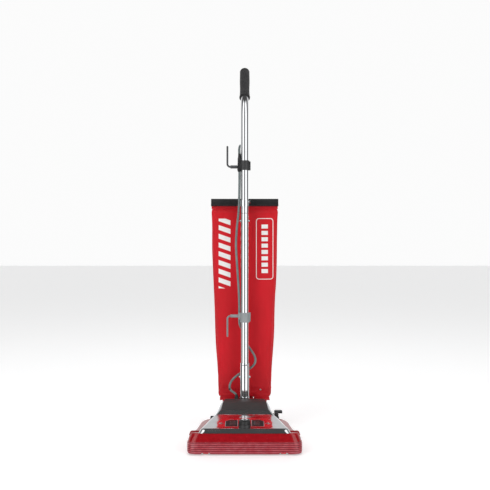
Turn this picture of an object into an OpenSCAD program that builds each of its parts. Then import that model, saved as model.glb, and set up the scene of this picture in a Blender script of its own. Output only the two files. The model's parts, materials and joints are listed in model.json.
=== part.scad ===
// Upright commercial vacuum cleaner with a chrome hood, a tilting handle and a slide-closed dust bag.
// Frame: X to the machine's left-right, Y from the front to the back, Z up, floor at z = 0.
// Every module draws with y measured back from the front face; placed() moves that to the row frame.

/* [Base] */
// Widest part of the nozzle base
base_width = 343; // [330:1:360]
// Depth of the nozzle base from its front face to its rear wall
base_depth = 288; // [284:1:292]
// Height of the level deck that the hood stands on
deck_z = 63; // [61:1:65]
// Height of the crease between the ribbed band and the sloping band
crease_z = 38; // [34:1:40]
// Gap between the floor and the lower edge of the base
base_floor_gap = 4; // [3:0.5:5]
// Wall of the translucent base
base_wall = 3; // [2:0.5:4]

/* [Hood] */
// Half-width of the hood at its front lip
hood_front_half = 137; // [130:1:142]
// Top of the hood over the motor
hood_top_z = 126; // [122:1:130]
// Sheet thickness of the hood
hood_sheet = 1.6; // [1.2:0.2:2.4]

/* [Handle] */
// Setback of the handle tube's axis
tube_y = 224; // [222:1:226]
// Outside radius of the handle tube
tube_r = 12.7; // [12:0.1:13]
// Wall of the handle tube
tube_wall = 1.5; // [1.2:0.1:2]
// Height at which the tube begins to bend back
bend_z = 1037; // [1000:1:1060]
// Radius of that bend
bend_r = 100; // [80:5:120]
// Angle of that bend
bend_angle = 40; // [30:1:45]
// Length of the hand grip
grip_len = 145; // [120:1:150]
// Height of the joint between the two handle tubes
tube_joint_z = 722; // [715:1:730]

/* [Tilt pivot] */
// Setback of the handle pivot
pivot_y = 250; // [249:1:251]
// Height of the handle pivot
pivot_z = 80; // [79:1:81]
// Radius of the pivot bolts
pivot_r = 4; // [3.5:0.5:4.5]

/* [Bag] */
// Half-length of the closure bar across the top of the bag
closure_half = 111; // [108:1:114]
// Setback of the closure bar and of the bag's top edge
closure_y = 275; // [274:1:276]
// Lower edge of the closure bar
closure_z = 748; // [740:1:756]
// Height of the closure bar
closure_h = 25; // [24:1:27]

/* [Brush and drive] */
// Setback of the brush roll's axis
brush_y = 32; // [31:1:33]
// Height of the brush roll's axis
brush_z = 27; // [27:0.5:28]
// Radius over the brush roll's tufts
tuft_r = 25; // [24:0.5:25]
// Radius of the brush roll's wooden body
roll_r = 17; // [16:0.5:18]
// Half-length of the brush roll
roll_half = 140; // [135:1:142]
// Setback of the motor's vertical axis
motor_y = 162; // [161:1:163]
// Radius of the round drive belt
belt_r = 2.5; // [2:0.1:2.6]

/* [Wheels] */
// Radius of the rear wheels
rear_wheel_r = 28; // [27:0.5:28.5]
// Setback of the rear axle
rear_axle_y = 268; // [267:1:269]
// Radius of the rear axle
rear_axle_r = 4; // [3.5:0.5:4.5]
// Radius of the front wheels
front_wheel_r = 15; // [14.5:0.5:15]
// Setback of the front wheels
front_wheel_y = 88; // [87:1:89]

/* [Cord hooks] */
// Radius of the free rod of a hook
hook_rod_r = 3; // [2.5:0.1:3.2]
// Reach of a hook from the tube's axis to its rod
hook_reach = 56; // [50:1:60]
// Height of the upper hook's arm
upper_hook_z = 873; // [860:1:880]
// Height of the lower hook's arm
lower_hook_z = 390; // [380:1:400]

/* [Cord] */
// Diameter of the three-core supply cord
cord_d = 7.5; // [7:0.1:8]
// Mid-turn radius of the coil that the spare cord is wound into
coil_mid_r = 67.5; // [62:0.5:68]
// Height and radial thickness of the coil
coil_h = 41; // [38:1:42]

/* [Hidden] */

$fn = 48;
// Running clearance on a radius
run_gap = 0.06;

// Colours
red_clear = [0.78, 0.05, 0.08, 0.6];
red_cloth = [0.8, 0.06, 0.08];
chrome_c = [0.82, 0.83, 0.85];
steel_c = [0.6, 0.61, 0.63];
black_c = [0.06, 0.06, 0.065];
grey_cord = [0.42, 0.46, 0.46];

// Handle geometry
grip_start = [tube_y + bend_r * (1 - cos(bend_angle)), bend_z + bend_r * sin(bend_angle)];
grip_dir = [sin(bend_angle), cos(bend_angle)];
grip_end_r = 16.2;
grip_dome_r = 10;
overall_depth = grip_start[0] + grip_dir[0] * (grip_len - grip_dome_r)
    + (grip_end_r - grip_dome_r) * cos(bend_angle) + grip_dome_r;
socket_r = 15.2;
socket_z = 112;
socket_top_z = 239;
crossbar_y = 245;
crossbar_z = 108;
crossbar_r = 9;
crossbar_half = 62;
bail_arm_t = 5;
ear_x = crossbar_half + bail_arm_t + 2;
ear_t = 4;

// Bag sections from its foot to its top seam: height, half-width, front and back setback
bag_sections = [
    [116, 84, 272, 308],
    [122, 87, 269.5, 315],
    [250, 93, 268.5, 326],
    [430, 101, 268, 332],
    [600, 107, 268, 330],
    [690, 109, 268.5, 318],
    [730, 109.5, 270, 298],
    [742, 109.5, 272.4, 282]
];
bag_stem_t = 2.8;
bag_bead = [7, 6];
bag_bead_z = closure_z + 11;

// Brush drive
belt_motor_r = 9.5;
belt_brush_r = 14.5;
groove_gap = 0.6;
pulley_z = 22;
// Pitch of the six windows between the guard bars of the bottom plate
window_pitch = 48;
plate_t = 1.5;
plate_top_z = base_floor_gap + 0.6 + plate_t;
fan_floor_z = 35;
fan_chamber_r = 58;
fan_chamber_h = 29;

// Height adjustment
knob_y = 33;
cam_track_r = 9.5;
cam_z = 70.4;
cam_travel = 150;
carriage_pivot = [200, 11];
carriage_x = 44;
carriage_angle = 2.6;
cam_rise = (carriage_pivot[0] - knob_y) * carriage_angle * PI / 180;

// Cord routes: x, setback, height. The lead runs from the hood to the upper clip, and the
// supply cord runs from that clip over the top of the bag and down to the coil on the floor.
lead_lower_route = [
    [-27, 231.6, 128.6], [-28.5, 235, 134], [-35, 239, 139], [-44, 241, 145], [-49, 242, 156],
    [-46, 242, 170], [-38, 242, 182], [-26, 243, 193], [-12, 244, 202], [4, 244.5, 210],
    [18, 244, 218], [30, 243, 229], [35, 242, 243], [32, 241.5, 258], [24, 241, 272],
    [14, 241, 286], [5, 241, 300], [0, 241, 314], [-2, 241, 327]
];
lead_upper_route = [
    [-2.4, 241, 329.2], [-6, 240, 341], [-13.5, 235.2, 354], [-17, 227, 368], [-17.5, 225, 384],
    [-17.5, 225, 420], [-19, 225, 470], [-23, 226, 530], [-27, 228, 590], [-28, 228, 630],
    [-25, 227, 680], [-20.5, 226, 720], [-18.5, 225, 750], [-17.5, 225, 790],
    [-17, 225, 830], [-17, 225, 858]
];
supply_route = [
    [-17, 225, 902.3], [-17.5, 226, 914], [-18, 232, 928], [-17, 243, 939], [-15, 258, 946],
    [-12, 275, 948], [-9, 293, 945], [-6, 311, 936], [-4, 327, 920], [-2, 337, 900],
    [-1, 342, 870], [0, 344, 820], [0, 345, 740], [0, 346, 640], [0, 347, 540],
    [0, 348, 440], [0, 348, 340], [0, 348, 240], [0, 348, 150], [0, 348, 90],
    [0, 350, 50], [-2, 358, 24], [-8, 372, 9], [-19, 388, 4], [-34, 404, 4],
    [-52, 424, 4], [-68, 450, 4], [-79, 480, 4], [-84, 510, 4], [-84, 533, 4]
];
coil_centre = [0, 533];

// Strain relief on the hood: its foot, its lean to the back and the radius of its barrel
gland_foot = [-27, 222, 112];
gland_lean = 30;
gland_r = 6;

// Exhaust neck: setback of its rear face
neck_end = 290;

// Shared shapes and functions

module placed() {
    translate([0, -overall_depth / 2, 0])
        children();
}

// A cylinder along X from x0 to x1 at setback y and height z
module bar_x(x0, x1, y, z, r) {
    translate([x0, y, z])
        rotate([0, 90, 0])
            cylinder(h = x1 - x0, r = r);
}

// A block given by its lowest and highest corners
module block(a, b) {
    translate(a)
        cube(b - a);
}

module both_sides() {
    for (side = [-1, 1])
        scale([side, 1, 1])
            children();
}

// A closed solid through rings that all have the same number of points
module loft(rings) {
    n = len(rings[0]);
    last = len(rings) - 1;
    sides = [
        for (i = [0:last - 1], k = [0:n - 1], half = [0, 1])
            half == 0
                ? [i * n + k, (i + 1) * n + k, (i + 1) * n + (k + 1) % n]
                : [i * n + k, (i + 1) * n + (k + 1) % n, i * n + (k + 1) % n]
    ];
    low_cap = [for (k = [0:n - 1]) k];
    high_cap = [for (k = [n - 1:-1:0]) last * n + k];
    polyhedron(
        points = [for (ring = rings, p = ring) p],
        faces = concat(sides, [low_cap, high_cap])
    );
}

function unit(v) = v / norm(v);

// Directions along a route, each the mean of its two neighbouring steps
function route_dirs(route) = [
    for (i = [0:len(route) - 1])
        unit(route[min(i + 1, len(route) - 1)] - route[max(i - 1, 0)])
];

// Cross direction carried along a route without turning about it
function carried(dirs, i) =
    i == 0
        ? unit(cross(dirs[0], abs(dirs[0][1]) < 0.9 ? [0, 1, 0] : [1, 0, 0]))
        : let (before = carried(dirs, i - 1))
            unit(before - dirs[i] * (before * dirs[i]));

// A tube along a route of points
module cord_tube(route, r, sides) {
    dirs = route_dirs(route);
    loft([
        for (i = [0:len(route) - 1])
            let (u = carried(dirs, i), v = cross(dirs[i], u))
            [
                for (k = [0:sides - 1])
                    let (a = 360 * k / sides)
                    route[i] + r * (u * cos(a) + v * sin(a))
            ]
    ]);
}

// Points between a and b on a smooth curve through p
function spline_point(p, i, t) =
    let (
        n = len(p) - 1,
        a = p[max(i - 1, 0)],
        b = p[i],
        c = p[i + 1],
        d = p[min(i + 2, n)]
    )
    0.5 * (2 * b + (c - a) * t + (2 * a - 5 * b + 4 * c - d) * t * t
        + (3 * b - a - 3 * c + d) * t * t * t);

function smooth_route(p, steps) = concat(
    [for (i = [0:len(p) - 2], k = [0:steps - 1]) spline_point(p, i, k / steps)],
    [p[len(p) - 1]]
);

// Plan outline of the base at height z, drawn in by inset at the sides, starting at front, and
// drawn in by skin all round for the inside of the shell
function base_half(front, inset, skin) = let (
    w = base_width / 2 - inset - skin,
    r = 26 - skin,
    rear = base_depth - max(0, inset - 10) - skin,
    rear_half = 89 - min(inset, 3) - skin
)
concat(
    [for (a = [-90:11.25:0]) [w - r + r * cos(a), front + skin + r + r * sin(a)]],
    [
        [w - 1, 34],
        [w - 9, 48],
        [w - 14, 62],
        [w - 20, 110],
        [w - 25, 158],
        [w - 36, 186],
        [w - 58, 208],
        [rear_half + 6, 222 - skin],
        [rear_half, 234 - skin]
    ],
    [for (a = [0:22.5:90]) [rear_half - 10 + 10 * cos(a), rear - 10 + 10 * sin(a)]]
);

function base_ring(z, front, inset, skin = 0) = let (half = base_half(front, inset, skin))
concat(
    [for (p = half) [p[0], p[1], z]],
    [for (k = [len(half) - 1:-1:0]) [-half[k][0], half[k][1], z]]
);

// Five raised ribs run round the lower band
rib_count = 5;
rib_pitch = (crease_z - base_floor_gap - 6) / rib_count;
rib_rise = 1.2;

function rib_rings(i) = let (z = base_floor_gap + 4 + i * rib_pitch)
[
    base_ring(z, rib_rise, rib_rise),
    base_ring(z + 0.8, 0, 0),
    base_ring(z + rib_pitch - 2.4, 0, 0),
    base_ring(z + rib_pitch - 1.6, rib_rise, rib_rise)
];

outer_base_rings = concat(
    [base_ring(base_floor_gap - 2, 4.6, 4.6)],
    [for (i = [0:rib_count - 1], ring = rib_rings(i)) ring],
    [
        base_ring(crease_z, 2.4, 2.4),
        base_ring(crease_z + 9, 4.6, 4.8),
        base_ring(deck_z - 6, 8, 9),
        base_ring(deck_z - 1.5, 10, 11),
        base_ring(deck_z + 3, 14.5, 16)
    ]
);

// Rings of the same form drawn in by skin, for the shell's inside and for the plates within it
function inner_base_rings(skin) = [
    base_ring(base_floor_gap - 3, 4, 4, skin),
    base_ring(crease_z, 2.4, 2.4, skin),
    base_ring(deck_z - base_wall, 9, 10, skin),
    base_ring(deck_z + 5, 13, 15, skin)
];

// Hood sections from front to back: setback, half-width at the deck, half-width at the top, top
hood_sections = [
    [10, hood_front_half - 13, hood_front_half - 15, 73],
    [11, hood_front_half - 8, hood_front_half - 10, 75],
    [14, hood_front_half - 3, hood_front_half - 5.5, 76.2],
    [22, hood_front_half, hood_front_half - 4, 78],
    [60, hood_front_half - 11, hood_front_half - 17, 86],
    [104, hood_front_half - 25, hood_front_half - 35, 95.5],
    [112, hood_front_half - 27.5, hood_front_half - 39, 98],
    [118, hood_front_half - 29, hood_front_half - 47, 104],
    [124, hood_front_half - 30.5, hood_front_half - 51, 108.5],
    [156, hood_front_half - 38, hood_front_half - 58, hood_top_z - 2],
    [164, hood_front_half - 39, hood_front_half - 60, hood_top_z],
    [212, hood_front_half - 43, hood_front_half - 63, hood_top_z - 0.5],
    [224, hood_front_half - 44, hood_front_half - 66, hood_top_z - 3],
    [231, hood_front_half - 46, hood_front_half - 71, hood_top_z - 11]
];
hood_rear_y = 231;

// One arch of the hood: feet at the deck, straight sides and rounded shoulders
function hood_ring(y, foot, shoulder, top, skin, drop) = let (
    r = min(14, (top - deck_z) * 0.7) - skin * 0.4,
    slope = atan2(foot - shoulder, top - deck_z),
    cx = shoulder - r - skin,
    half = concat(
        [[foot - skin, deck_z - drop], [foot - skin - 1, deck_z + 3]],
        [for (a = [slope:(90 - slope) / 5:90]) [cx + r * cos(a), top - skin - r + r * sin(a)]]
    ),
    n = len(half)
)
concat(
    [for (p = half) [p[0], y, p[1]]],
    [for (k = [n - 1:-1:0]) [-half[k][0], y, half[k][1]]]
);

// Setback of an inner hood section, drawn in by the sheet at the front and at the rear
function inside_y(y) = let (front = hood_sections[0][0], run = hood_rear_y - front)
    front + hood_sheet + (y - front) * (run - 2 * hood_sheet) / run;

// Height of the hood's shelf at setback y, between the lip and the motor bulge
function shelf_z(y) = lookup(y, [for (s = hood_sections) [s[0], s[3]]]);

// The tube's slot in the hood, and the path that the socket sweeps when the handle tilts
module handle_slot() {
    translate([0, tube_y, 86])
        cylinder(h = 60, r = socket_r + 3);
    block([-socket_r - 3, tube_y, 86], [socket_r + 3, hood_rear_y + 5, 146]);
}

// ---- Base ----

screw_places = [[104, 60], [92, 150]];
latch_x = 110;
latch_y = 92;

// Deck, brush chamber roof and rear wall, wheel box walls and latch posts
module base_plates() {
    block([-180, 0, deck_z - base_wall], [180, 300, deck_z + 1]);
    block([-180, 0, 55], [180, 68, 57.2]);
    block([-180, 66, plate_top_z + 0.4], [180, 68, 56]);
    both_sides() {
        block([74, rear_axle_y - 12, 14], [80, rear_axle_y + 12, 42]);
        block([74, rear_axle_y - 2, 40], [80, rear_axle_y + 2, deck_z - 1]);
        translate([latch_x, latch_y, 7])
            cylinder(h = 55, r = 7);
    }
}

module base_housing() {
    color(red_clear)
        placed()
            difference() {
                union() {
                    difference() {
                        loft(outer_base_rings);
                        loft(inner_base_rings(base_wall));
                    }
                    intersection() {
                        loft(inner_base_rings(base_wall / 2));
                        base_plates();
                    }
                }
                // Level top and bottom edges
                block([-180, -5, deck_z], [180, 300, deck_z + 10]);
                block([-180, -5, -5], [180, 300, base_floor_gap]);
                // Way up through the deck to the motor, the cam and the carriage
                block([-84, 24, 57.6], [84, 224, 70]);
                // Passage for the intake duct through the chamber wall
                block([-32, 60, 0], [32, 70, 44.2]);
                // Notches in the lower front edge
                both_sides() {
                    block([103, -2, 0], [126, 12, base_floor_gap + 5]);
                    translate([latch_x, latch_y, 0])
                        cylinder(h = 16, r = 3 + run_gap);
                    for (p = screw_places)
                        translate([p[0], p[1], deck_z - 5])
                            cylinder(h = 12, r = 2);
                }
                // Exhaust passage through the deck and the rear wall
                block([-29, 222, 36], [29, base_depth + 2, 84]);
                bar_x(-100, 100, rear_axle_y, rear_wheel_r, rear_axle_r);
            }
}

module hood() {
    color(chrome_c)
        placed()
            difference() {
                loft([
                    for (i = [len(hood_sections) - 1:-1:0])
                        let (s = hood_sections[i])
                            hood_ring(s[0], s[1], s[2], s[3], 0, 0)
                ]);
                loft([
                    for (i = [len(hood_sections) - 1:-1:0])
                        let (s = hood_sections[i])
                            hood_ring(inside_y(s[0]), s[1], s[2], s[3], hood_sheet, 3)
                ]);
                handle_slot();
                translate([0, knob_y, deck_z])
                    cylinder(h = 30, r = 8);
                translate(gland_foot)
                    rotate([-gland_lean, 0, 0])
                        translate([0, 0, -6])
                            cylinder(h = 26, r = gland_r + 0.15);
                // Windows in the rear wall for the switch and in the side for the pedal's bracket
                block(
                    [switch_x - 14.15, 221, switch_z - 9.15],
                    [switch_x + 14.15, 240, switch_z + 8.15]
                );
                block([79.4, 216.4, 55], [100, 240, 76]);
            }
}

// A red badge on the hood's shelf with a humped rear edge and two dark panels
module hood_label() {
    rise = shelf_z(92) - shelf_z(24);
    pitch = atan2(rise, 68);
    color(red_cloth)
        placed()
            translate([0, 24, shelf_z(24) + 0.1])
                rotate([pitch, 0, 0])
                    difference() {
                        linear_extrude(height = 1)
                            polygon(concat(
                                [[-84, 0], [84, 0], [82, 14], [84, 24], [80, 40]],
                                [for (a = [0:22.5:90]) [68 + 8 * cos(a), 48 + 8 * sin(a)]],
                                [[40, 60], [24, 66], [-24, 66], [-40, 60]],
                                [for (a = [90:22.5:180]) [-68 + 8 * cos(a), 48 + 8 * sin(a)]],
                                [[-80, 40], [-84, 24], [-82, 14]]
                            ));
                        translate([0, knob_y - 24, -5])
                            cylinder(h = 12, r = 20.5);
                        translate([0, knob_y - 3, -5])
                            cylinder(h = 12, r = 9.6);
                    }
}

// Round seat that levels the knob on the sloping shelf, with a raised pointer behind it
module knob_bezel() {
    top = shelf_z(knob_y + 18) + 1.5;
    color(black_c)
        placed()
            difference() {
                union() {
                    translate([0, knob_y, shelf_z(knob_y - 19) - 1])
                        cylinder(h = top - shelf_z(knob_y - 19) + 1, r = 19);
                    translate([0, knob_y + 21, shelf_z(knob_y + 14)])
                        cylinder(h = 12, r = 8);
                }
                translate([0, knob_y, 60])
                    cylinder(h = 60, r = 8);
                // Underside follows the shelf
                translate([0, 24, shelf_z(24) + 0.25])
                    rotate([atan2(shelf_z(60) - shelf_z(24), 36), 0, 0])
                        block([-40, -44, -40], [40, 66, 0]);
                translate([0, knob_y, top])
                    cylinder(h = 20, r = 18.5);
            }
}

// Steel plate under the brush and belt, with guard bars across the nozzle mouth
module bottom_plate() {
    color(steel_c)
        placed()
            difference() {
                translate([0, 0, plate_top_z - plate_t])
                    linear_extrude(height = plate_t)
                        polygon([
                            [-150, 9.5], [150, 9.5], [158, 16], [158, 34], [147, 64], [142, 112],
                            [-142, 112], [-147, 64], [-158, 34], [-158, 16]
                        ]);
                for (x = [-2.5:1:2.5])
                    block([x * window_pitch - 21, 12, 0], [x * window_pitch + 21, 62, 10]);
                block([-70, 69, 0], [70, 107, 10]);
                both_sides()
                    translate([latch_x, latch_y, 0])
                        cylinder(h = 10, r = 3.1);
            }
}

// Duct from the brush chamber to the eye of the fan; the belt runs inside it
module intake_duct() {
    color([0.2, 0.2, 0.22])
        placed()
            difference() {
                union() {
                    block([-32, 68.2, 8], [32, 190, fan_floor_z - 0.2]);
                    block([-32, 68.2, 8], [32, 90, 44]);
                }
                block([-30, 60, 10], [30, 188, fan_floor_z - 2]);
                block([-30, 60, 10], [30, 88, 42]);
                block([-30, 84, 10], [30, 96.5, 40]);
                block([-20, 62, 7], [20, 150, 12]);
                block([-10, 90, 20], [10, 112, 40]);
                translate([0, motor_y, 10])
                    cylinder(h = 60, r = 22);
            }
}

// Scroll-shaped chamber round the fan, with a tangential outlet at the back
module fan_chamber() {
    color([0.85, 0.85, 0.88, 0.5])
        placed()
            difference() {
                union() {
                    translate([0, motor_y, fan_floor_z])
                        cylinder(h = fan_chamber_h, r = fan_chamber_r);
                    block([-26, motor_y + 30, fan_floor_z + 2], [26, 224, 62]);
                }
                translate([0, motor_y, fan_floor_z + 2])
                    cylinder(h = fan_chamber_h - 4, r = fan_chamber_r - 2);
                block([-24, motor_y + 30, fan_floor_z + 4], [24, 230, 60]);
                translate([0, motor_y, fan_floor_z - 1])
                    cylinder(h = 4, r = 20);
                translate([0, motor_y, fan_floor_z + 20])
                    cylinder(h = 20, r = 9);
            }
}

// Motor can with end bearings for the armature shaft
module motor_housing() {
    low = fan_floor_z + fan_chamber_h;
    color(steel_c)
        placed()
            difference() {
                union() {
                    translate([0, motor_y, low])
                        cylinder(h = 42, r = 38);
                    translate([0, motor_y, low + 42])
                        cylinder(h = 7, r = 12);
                }
                translate([0, motor_y, low + 2])
                    cylinder(h = 38, r = 35);
                translate([0, motor_y, low - 1])
                    cylinder(h = 50, r = 4 + run_gap);
                for (a = [0:30:330])
                    translate([0, motor_y, low + 20])
                        rotate([0, 0, a])
                            block([32, -4, -8], [42, 4, 12]);
            }
}

// Duct that carries the air from the fan to the neck behind the machine
module exhaust_duct() {
    color(black_c)
        placed()
            difference() {
                union() {
                    block([-26, 224, 38], [26, 262, 62]);
                    block([-26, 250, 38], [26, neck_end, 79]);
                    block([-29, 288.2, 50], [29, neck_end, 82]);
                }
                block([-24, 220, 40], [24, 262, 60]);
                block([-24, 252, 40], [24, 300, 77]);
                bar_x(-60, 60, rear_axle_y, rear_wheel_r, rear_axle_r + 3);
            }
}

module rear_axle() {
    color(steel_c)
        placed()
            bar_x(-119, 119, rear_axle_y, rear_wheel_r, rear_axle_r);
}

// Steel ears on the deck that carry the handle's pivot bolts
module bail_ears() {
    color(steel_c)
        placed()
            both_sides()
                difference() {
                    union() {
                        block([ear_x, pivot_y - 13, deck_z], [ear_x + ear_t, pivot_y + 13, pivot_z]);
                        bar_x(ear_x, ear_x + ear_t, pivot_y, pivot_z, 13);
                        block([ear_x, pivot_y - 13, deck_z], [ear_x + 14, pivot_y + 13, deck_z + 2]);
                    }
                    bar_x(ear_x - 1, ear_x + 20, pivot_y, pivot_z, pivot_r);
                }
}

module pivot_bolts() {
    color(chrome_c)
        placed()
            both_sides() {
                bar_x(crossbar_half - 3, ear_x + ear_t + 3, pivot_y, pivot_z, pivot_r);
                bar_x(ear_x + ear_t, ear_x + ear_t + 5, pivot_y, pivot_z, 8);
                bar_x(crossbar_half - 4, crossbar_half - 1, pivot_y, pivot_z, 6.5);
            }
}

// Foot pedal that frees the upright handle, with its bracket and return spring
pedal_pivot = [226, 70];

module pedal_bracket() {
    color(steel_c)
        placed()
            difference() {
                union() {
                    block([80, 217, deck_z], [90, 235, 72]);
                    bar_x(80, 110, pedal_pivot[0], pedal_pivot[1], 3);
                }
                translate([85, 231, deck_z - 1])
                    cylinder(h = 4, r = 1.5);
            }
}

module pedal_spring() {
    color(chrome_c)
        placed()
            for (i = [0:2])
                translate([91.2 + 1.5 * i, pedal_pivot[0], pedal_pivot[1]])
                    rotate([0, 90, 0])
                        rotate_extrude()
                            translate([4.6, 0])
                                circle(r = 0.6, $fn = 16);
}

module release_pedal() {
    color(black_c)
        placed()
            difference() {
                union() {
                    bar_x(97, 108, pedal_pivot[0], pedal_pivot[1], 7);
                    block([97, pedal_pivot[0], 67.5], [104, 258, 72.5]);
                    hull() {
                        block([97, 248, 69], [123, 264, 75]);
                        block([99, 246, 73], [121, 266, 77]);
                    }
                }
                bar_x(90, 112, pedal_pivot[0], pedal_pivot[1], 3 + run_gap);
            }
}

// Rocker switch on the back of the hood, worked by the foot
switch_x = -46;
switch_z = 90;

module switch_housing() {
    color(black_c)
        placed()
            difference() {
                block([switch_x - 14, 222, switch_z - 9], [switch_x + 14, 232.4, switch_z + 8]);
                block([switch_x - 11, 224, switch_z - 6], [switch_x + 11, 240, switch_z + 5]);
            }
}

module power_switch() {
    color([0.7, 0.05, 0.05])
        placed()
            difference() {
                bar_x(switch_x - 10.5, switch_x + 10.5, 229, switch_z - 0.5, 4.6);
                block([switch_x - 12, 232, switch_z], [switch_x + 12, 240, switch_z + 10]);
            }
}

// Strain relief where the captive lead leaves the hood
module cord_gland() {
    color(black_c)
        placed()
            translate(gland_foot)
                rotate([-gland_lean, 0, 0])
                    difference() {
                        cylinder(h = 18, r = gland_r);
                        translate([0, 0, -1])
                            cylinder(h = 30, r = 2);
                    }
}

// ---- Brush roll and drive ----

// Bearing blocks that hold the ends of the brush roll in the chamber
module brush_bearings() {
    color(black_c)
        placed()
            both_sides()
                difference() {
                    block([roll_half + 3, brush_y - 13, 8], [roll_half + 11, brush_y + 13, 46]);
                    bar_x(roll_half, roll_half + 9, brush_y, brush_z, 5 + run_gap);
                }
}

module brush_roll() {
    color([0.72, 0.52, 0.3])
        placed()
            difference() {
                union() {
                    bar_x(-roll_half, roll_half, brush_y, brush_z, roll_r);
                    bar_x(-roll_half - 8.6, roll_half + 8.6, brush_y, brush_z, 5);
                }
                translate([0, brush_y, brush_z])
                    rotate([0, 90, 0])
                        rotate_extrude()
                            translate([belt_brush_r, 0])
                                circle(r = belt_r + groove_gap, $fn = 32);
                translate([0, brush_y, brush_z])
                    rotate([0, 90, 0])
                        difference() {
                            cylinder(h = 7, r = roll_r + 5, center = true);
                            cylinder(h = 9, r = belt_brush_r, center = true);
                        }
            }
}

// Two helical rows of tufts on the roll, three to each window so that they clear the guard bars
module brush_tufts() {
    color([0.12, 0.12, 0.13])
        placed()
            for (side = [-1, 1], row = [0, 1], window = [0:2], place = [0:2])
                translate([
                    side * (window_pitch * (window + 0.5) + 15 * (place - 1)),
                    brush_y,
                    brush_z
                ])
                    rotate([side * (3 * window + place) * 16 + row * 180, 0, 0])
                        translate([0, 0, roll_r])
                            cylinder(h = tuft_r - roll_r, r = 3, $fn = 16);
}

// Round belt with a quarter turn between the upright motor shaft and the brush roll: its path
// goes behind the pulley, forward to the foot of the roll's groove, round it and back
belt_path = concat(
    [for (a = [0:15:180]) [belt_motor_r * cos(a), motor_y + belt_motor_r * sin(a), pulley_z]],
    [for (a = [-90:-15:-270]) [0, brush_y + belt_brush_r * cos(a), brush_z + belt_brush_r * sin(a)]]
);

// Ring of the belt's surface at step i of its closed path
function belt_ring(i, sides) = let (
    n = len(belt_path),
    dir = unit(belt_path[(i + 1) % n] - belt_path[(i + n - 1) % n]),
    u = unit(cross(dir, [1, 0, 1])),
    v = cross(dir, u)
)
[
    for (k = [0:sides - 1])
        let (a = 360 * k / sides)
        belt_path[i] + belt_r * (u * cos(a) + v * sin(a))
];

module drive_belt() {
    sides = 12;
    n = len(belt_path);
    color(black_c)
        placed()
            polyhedron(
                points = [for (i = [0:n - 1], p = belt_ring(i, sides)) p],
                faces = [
                    for (i = [0:n - 1], k = [0:sides - 1], half = [0, 1])
                        let (a = i * sides, b = (i + 1) % n * sides, m = (k + 1) % sides)
                        half == 0 ? [a + k, b + k, b + m] : [a + k, b + m, a + m]
                ]
            );
}

module armature() {
    low = fan_floor_z + fan_chamber_h;
    color([0.55, 0.3, 0.15])
        placed()
            translate([0, motor_y, 0]) {
                translate([0, 0, pulley_z - 6])
                    cylinder(h = low + 48 - pulley_z + 6, r = 4);
                translate([0, 0, low + 6])
                    cylinder(h = 20, r = 27);
                translate([0, 0, low + 28])
                    cylinder(h = 8, r = 13);
            }
}

module fan() {
    blades = 8;
    color([0.75, 0.75, 0.77])
        placed()
            translate([0, motor_y, fan_floor_z + 5])
                difference() {
                    union() {
                        cylinder(h = 2, r = 50);
                        cylinder(h = 16, r = 10);
                        for (i = [0:blades - 1])
                            rotate([0, 0, i * 360 / blades])
                                translate([12, 0, 1])
                                    rotate([0, 0, 28])
                                        block([-6, -1, 0], [32, 1, 14]);
                    }
                    translate([0, 0, -1])
                        cylinder(h = 30, r = 4);
                }
}

module motor_pulley() {
    color(steel_c)
        placed()
            translate([0, motor_y, pulley_z])
                difference() {
                    translate([0, 0, -5])
                        cylinder(h = 10, r = belt_motor_r);
                    rotate_extrude()
                        translate([belt_motor_r, 0])
                            circle(r = belt_r + groove_gap, $fn = 32);
                    translate([0, 0, -6])
                        cylinder(h = 20, r = 4);
                }
}

// ---- Height adjustment ----

module carriage_rod() {
    color(steel_c)
        placed()
            bar_x(-carriage_x - 14, carriage_x + 14, carriage_pivot[0], carriage_pivot[1], 3);
}

// Long sprung-down frame: it turns about the rod at its back and carries the front wheels
module wheel_carriage() {
    color([0.3, 0.3, 0.32])
        placed()
            difference() {
                union() {
                    both_sides() {
                        block(
                            [carriage_x - 3, front_wheel_y, 10.8],
                            [carriage_x + 3, carriage_pivot[0], 18.4]
                        );
                        block([carriage_x - 3, 72, 8], [carriage_x + 3, 90, 54.4]);
                        bar_x(carriage_x - 3, carriage_x + 3, carriage_pivot[0], carriage_pivot[1], 7);
                        bar_x(carriage_x + 3, carriage_x + 20, front_wheel_y, front_wheel_r, 3);
                    }
                    block([-carriage_x - 3, 72, 50.9], [carriage_x + 3, 90, 54.4]);
                    block([6, 72, 53], [15, 79, 69]);
                    block([6, knob_y, 65.5], [15, 79, 68.5]);
                    translate([cam_track_r, knob_y, 65.5])
                        cylinder(h = 3, r = 4);
                    translate([cam_track_r, knob_y, 67.5])
                        sphere(r = 2);
                }
                bar_x(-60, 60, carriage_pivot[0], carriage_pivot[1], 3 + run_gap);
            }
}

module front_wheel(side) {
    inner = carriage_x + 4;
    color(black_c)
        placed()
            scale([side, 1, 1])
                difference() {
                    bar_x(inner, inner + 14, front_wheel_y, front_wheel_r, front_wheel_r);
                    bar_x(inner - 1, inner + 17, front_wheel_y, front_wheel_r, 3 + run_gap);
                }
}

module front_wheel_left() {
    front_wheel(-1);
}

module front_wheel_right() {
    front_wheel(1);
}

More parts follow.
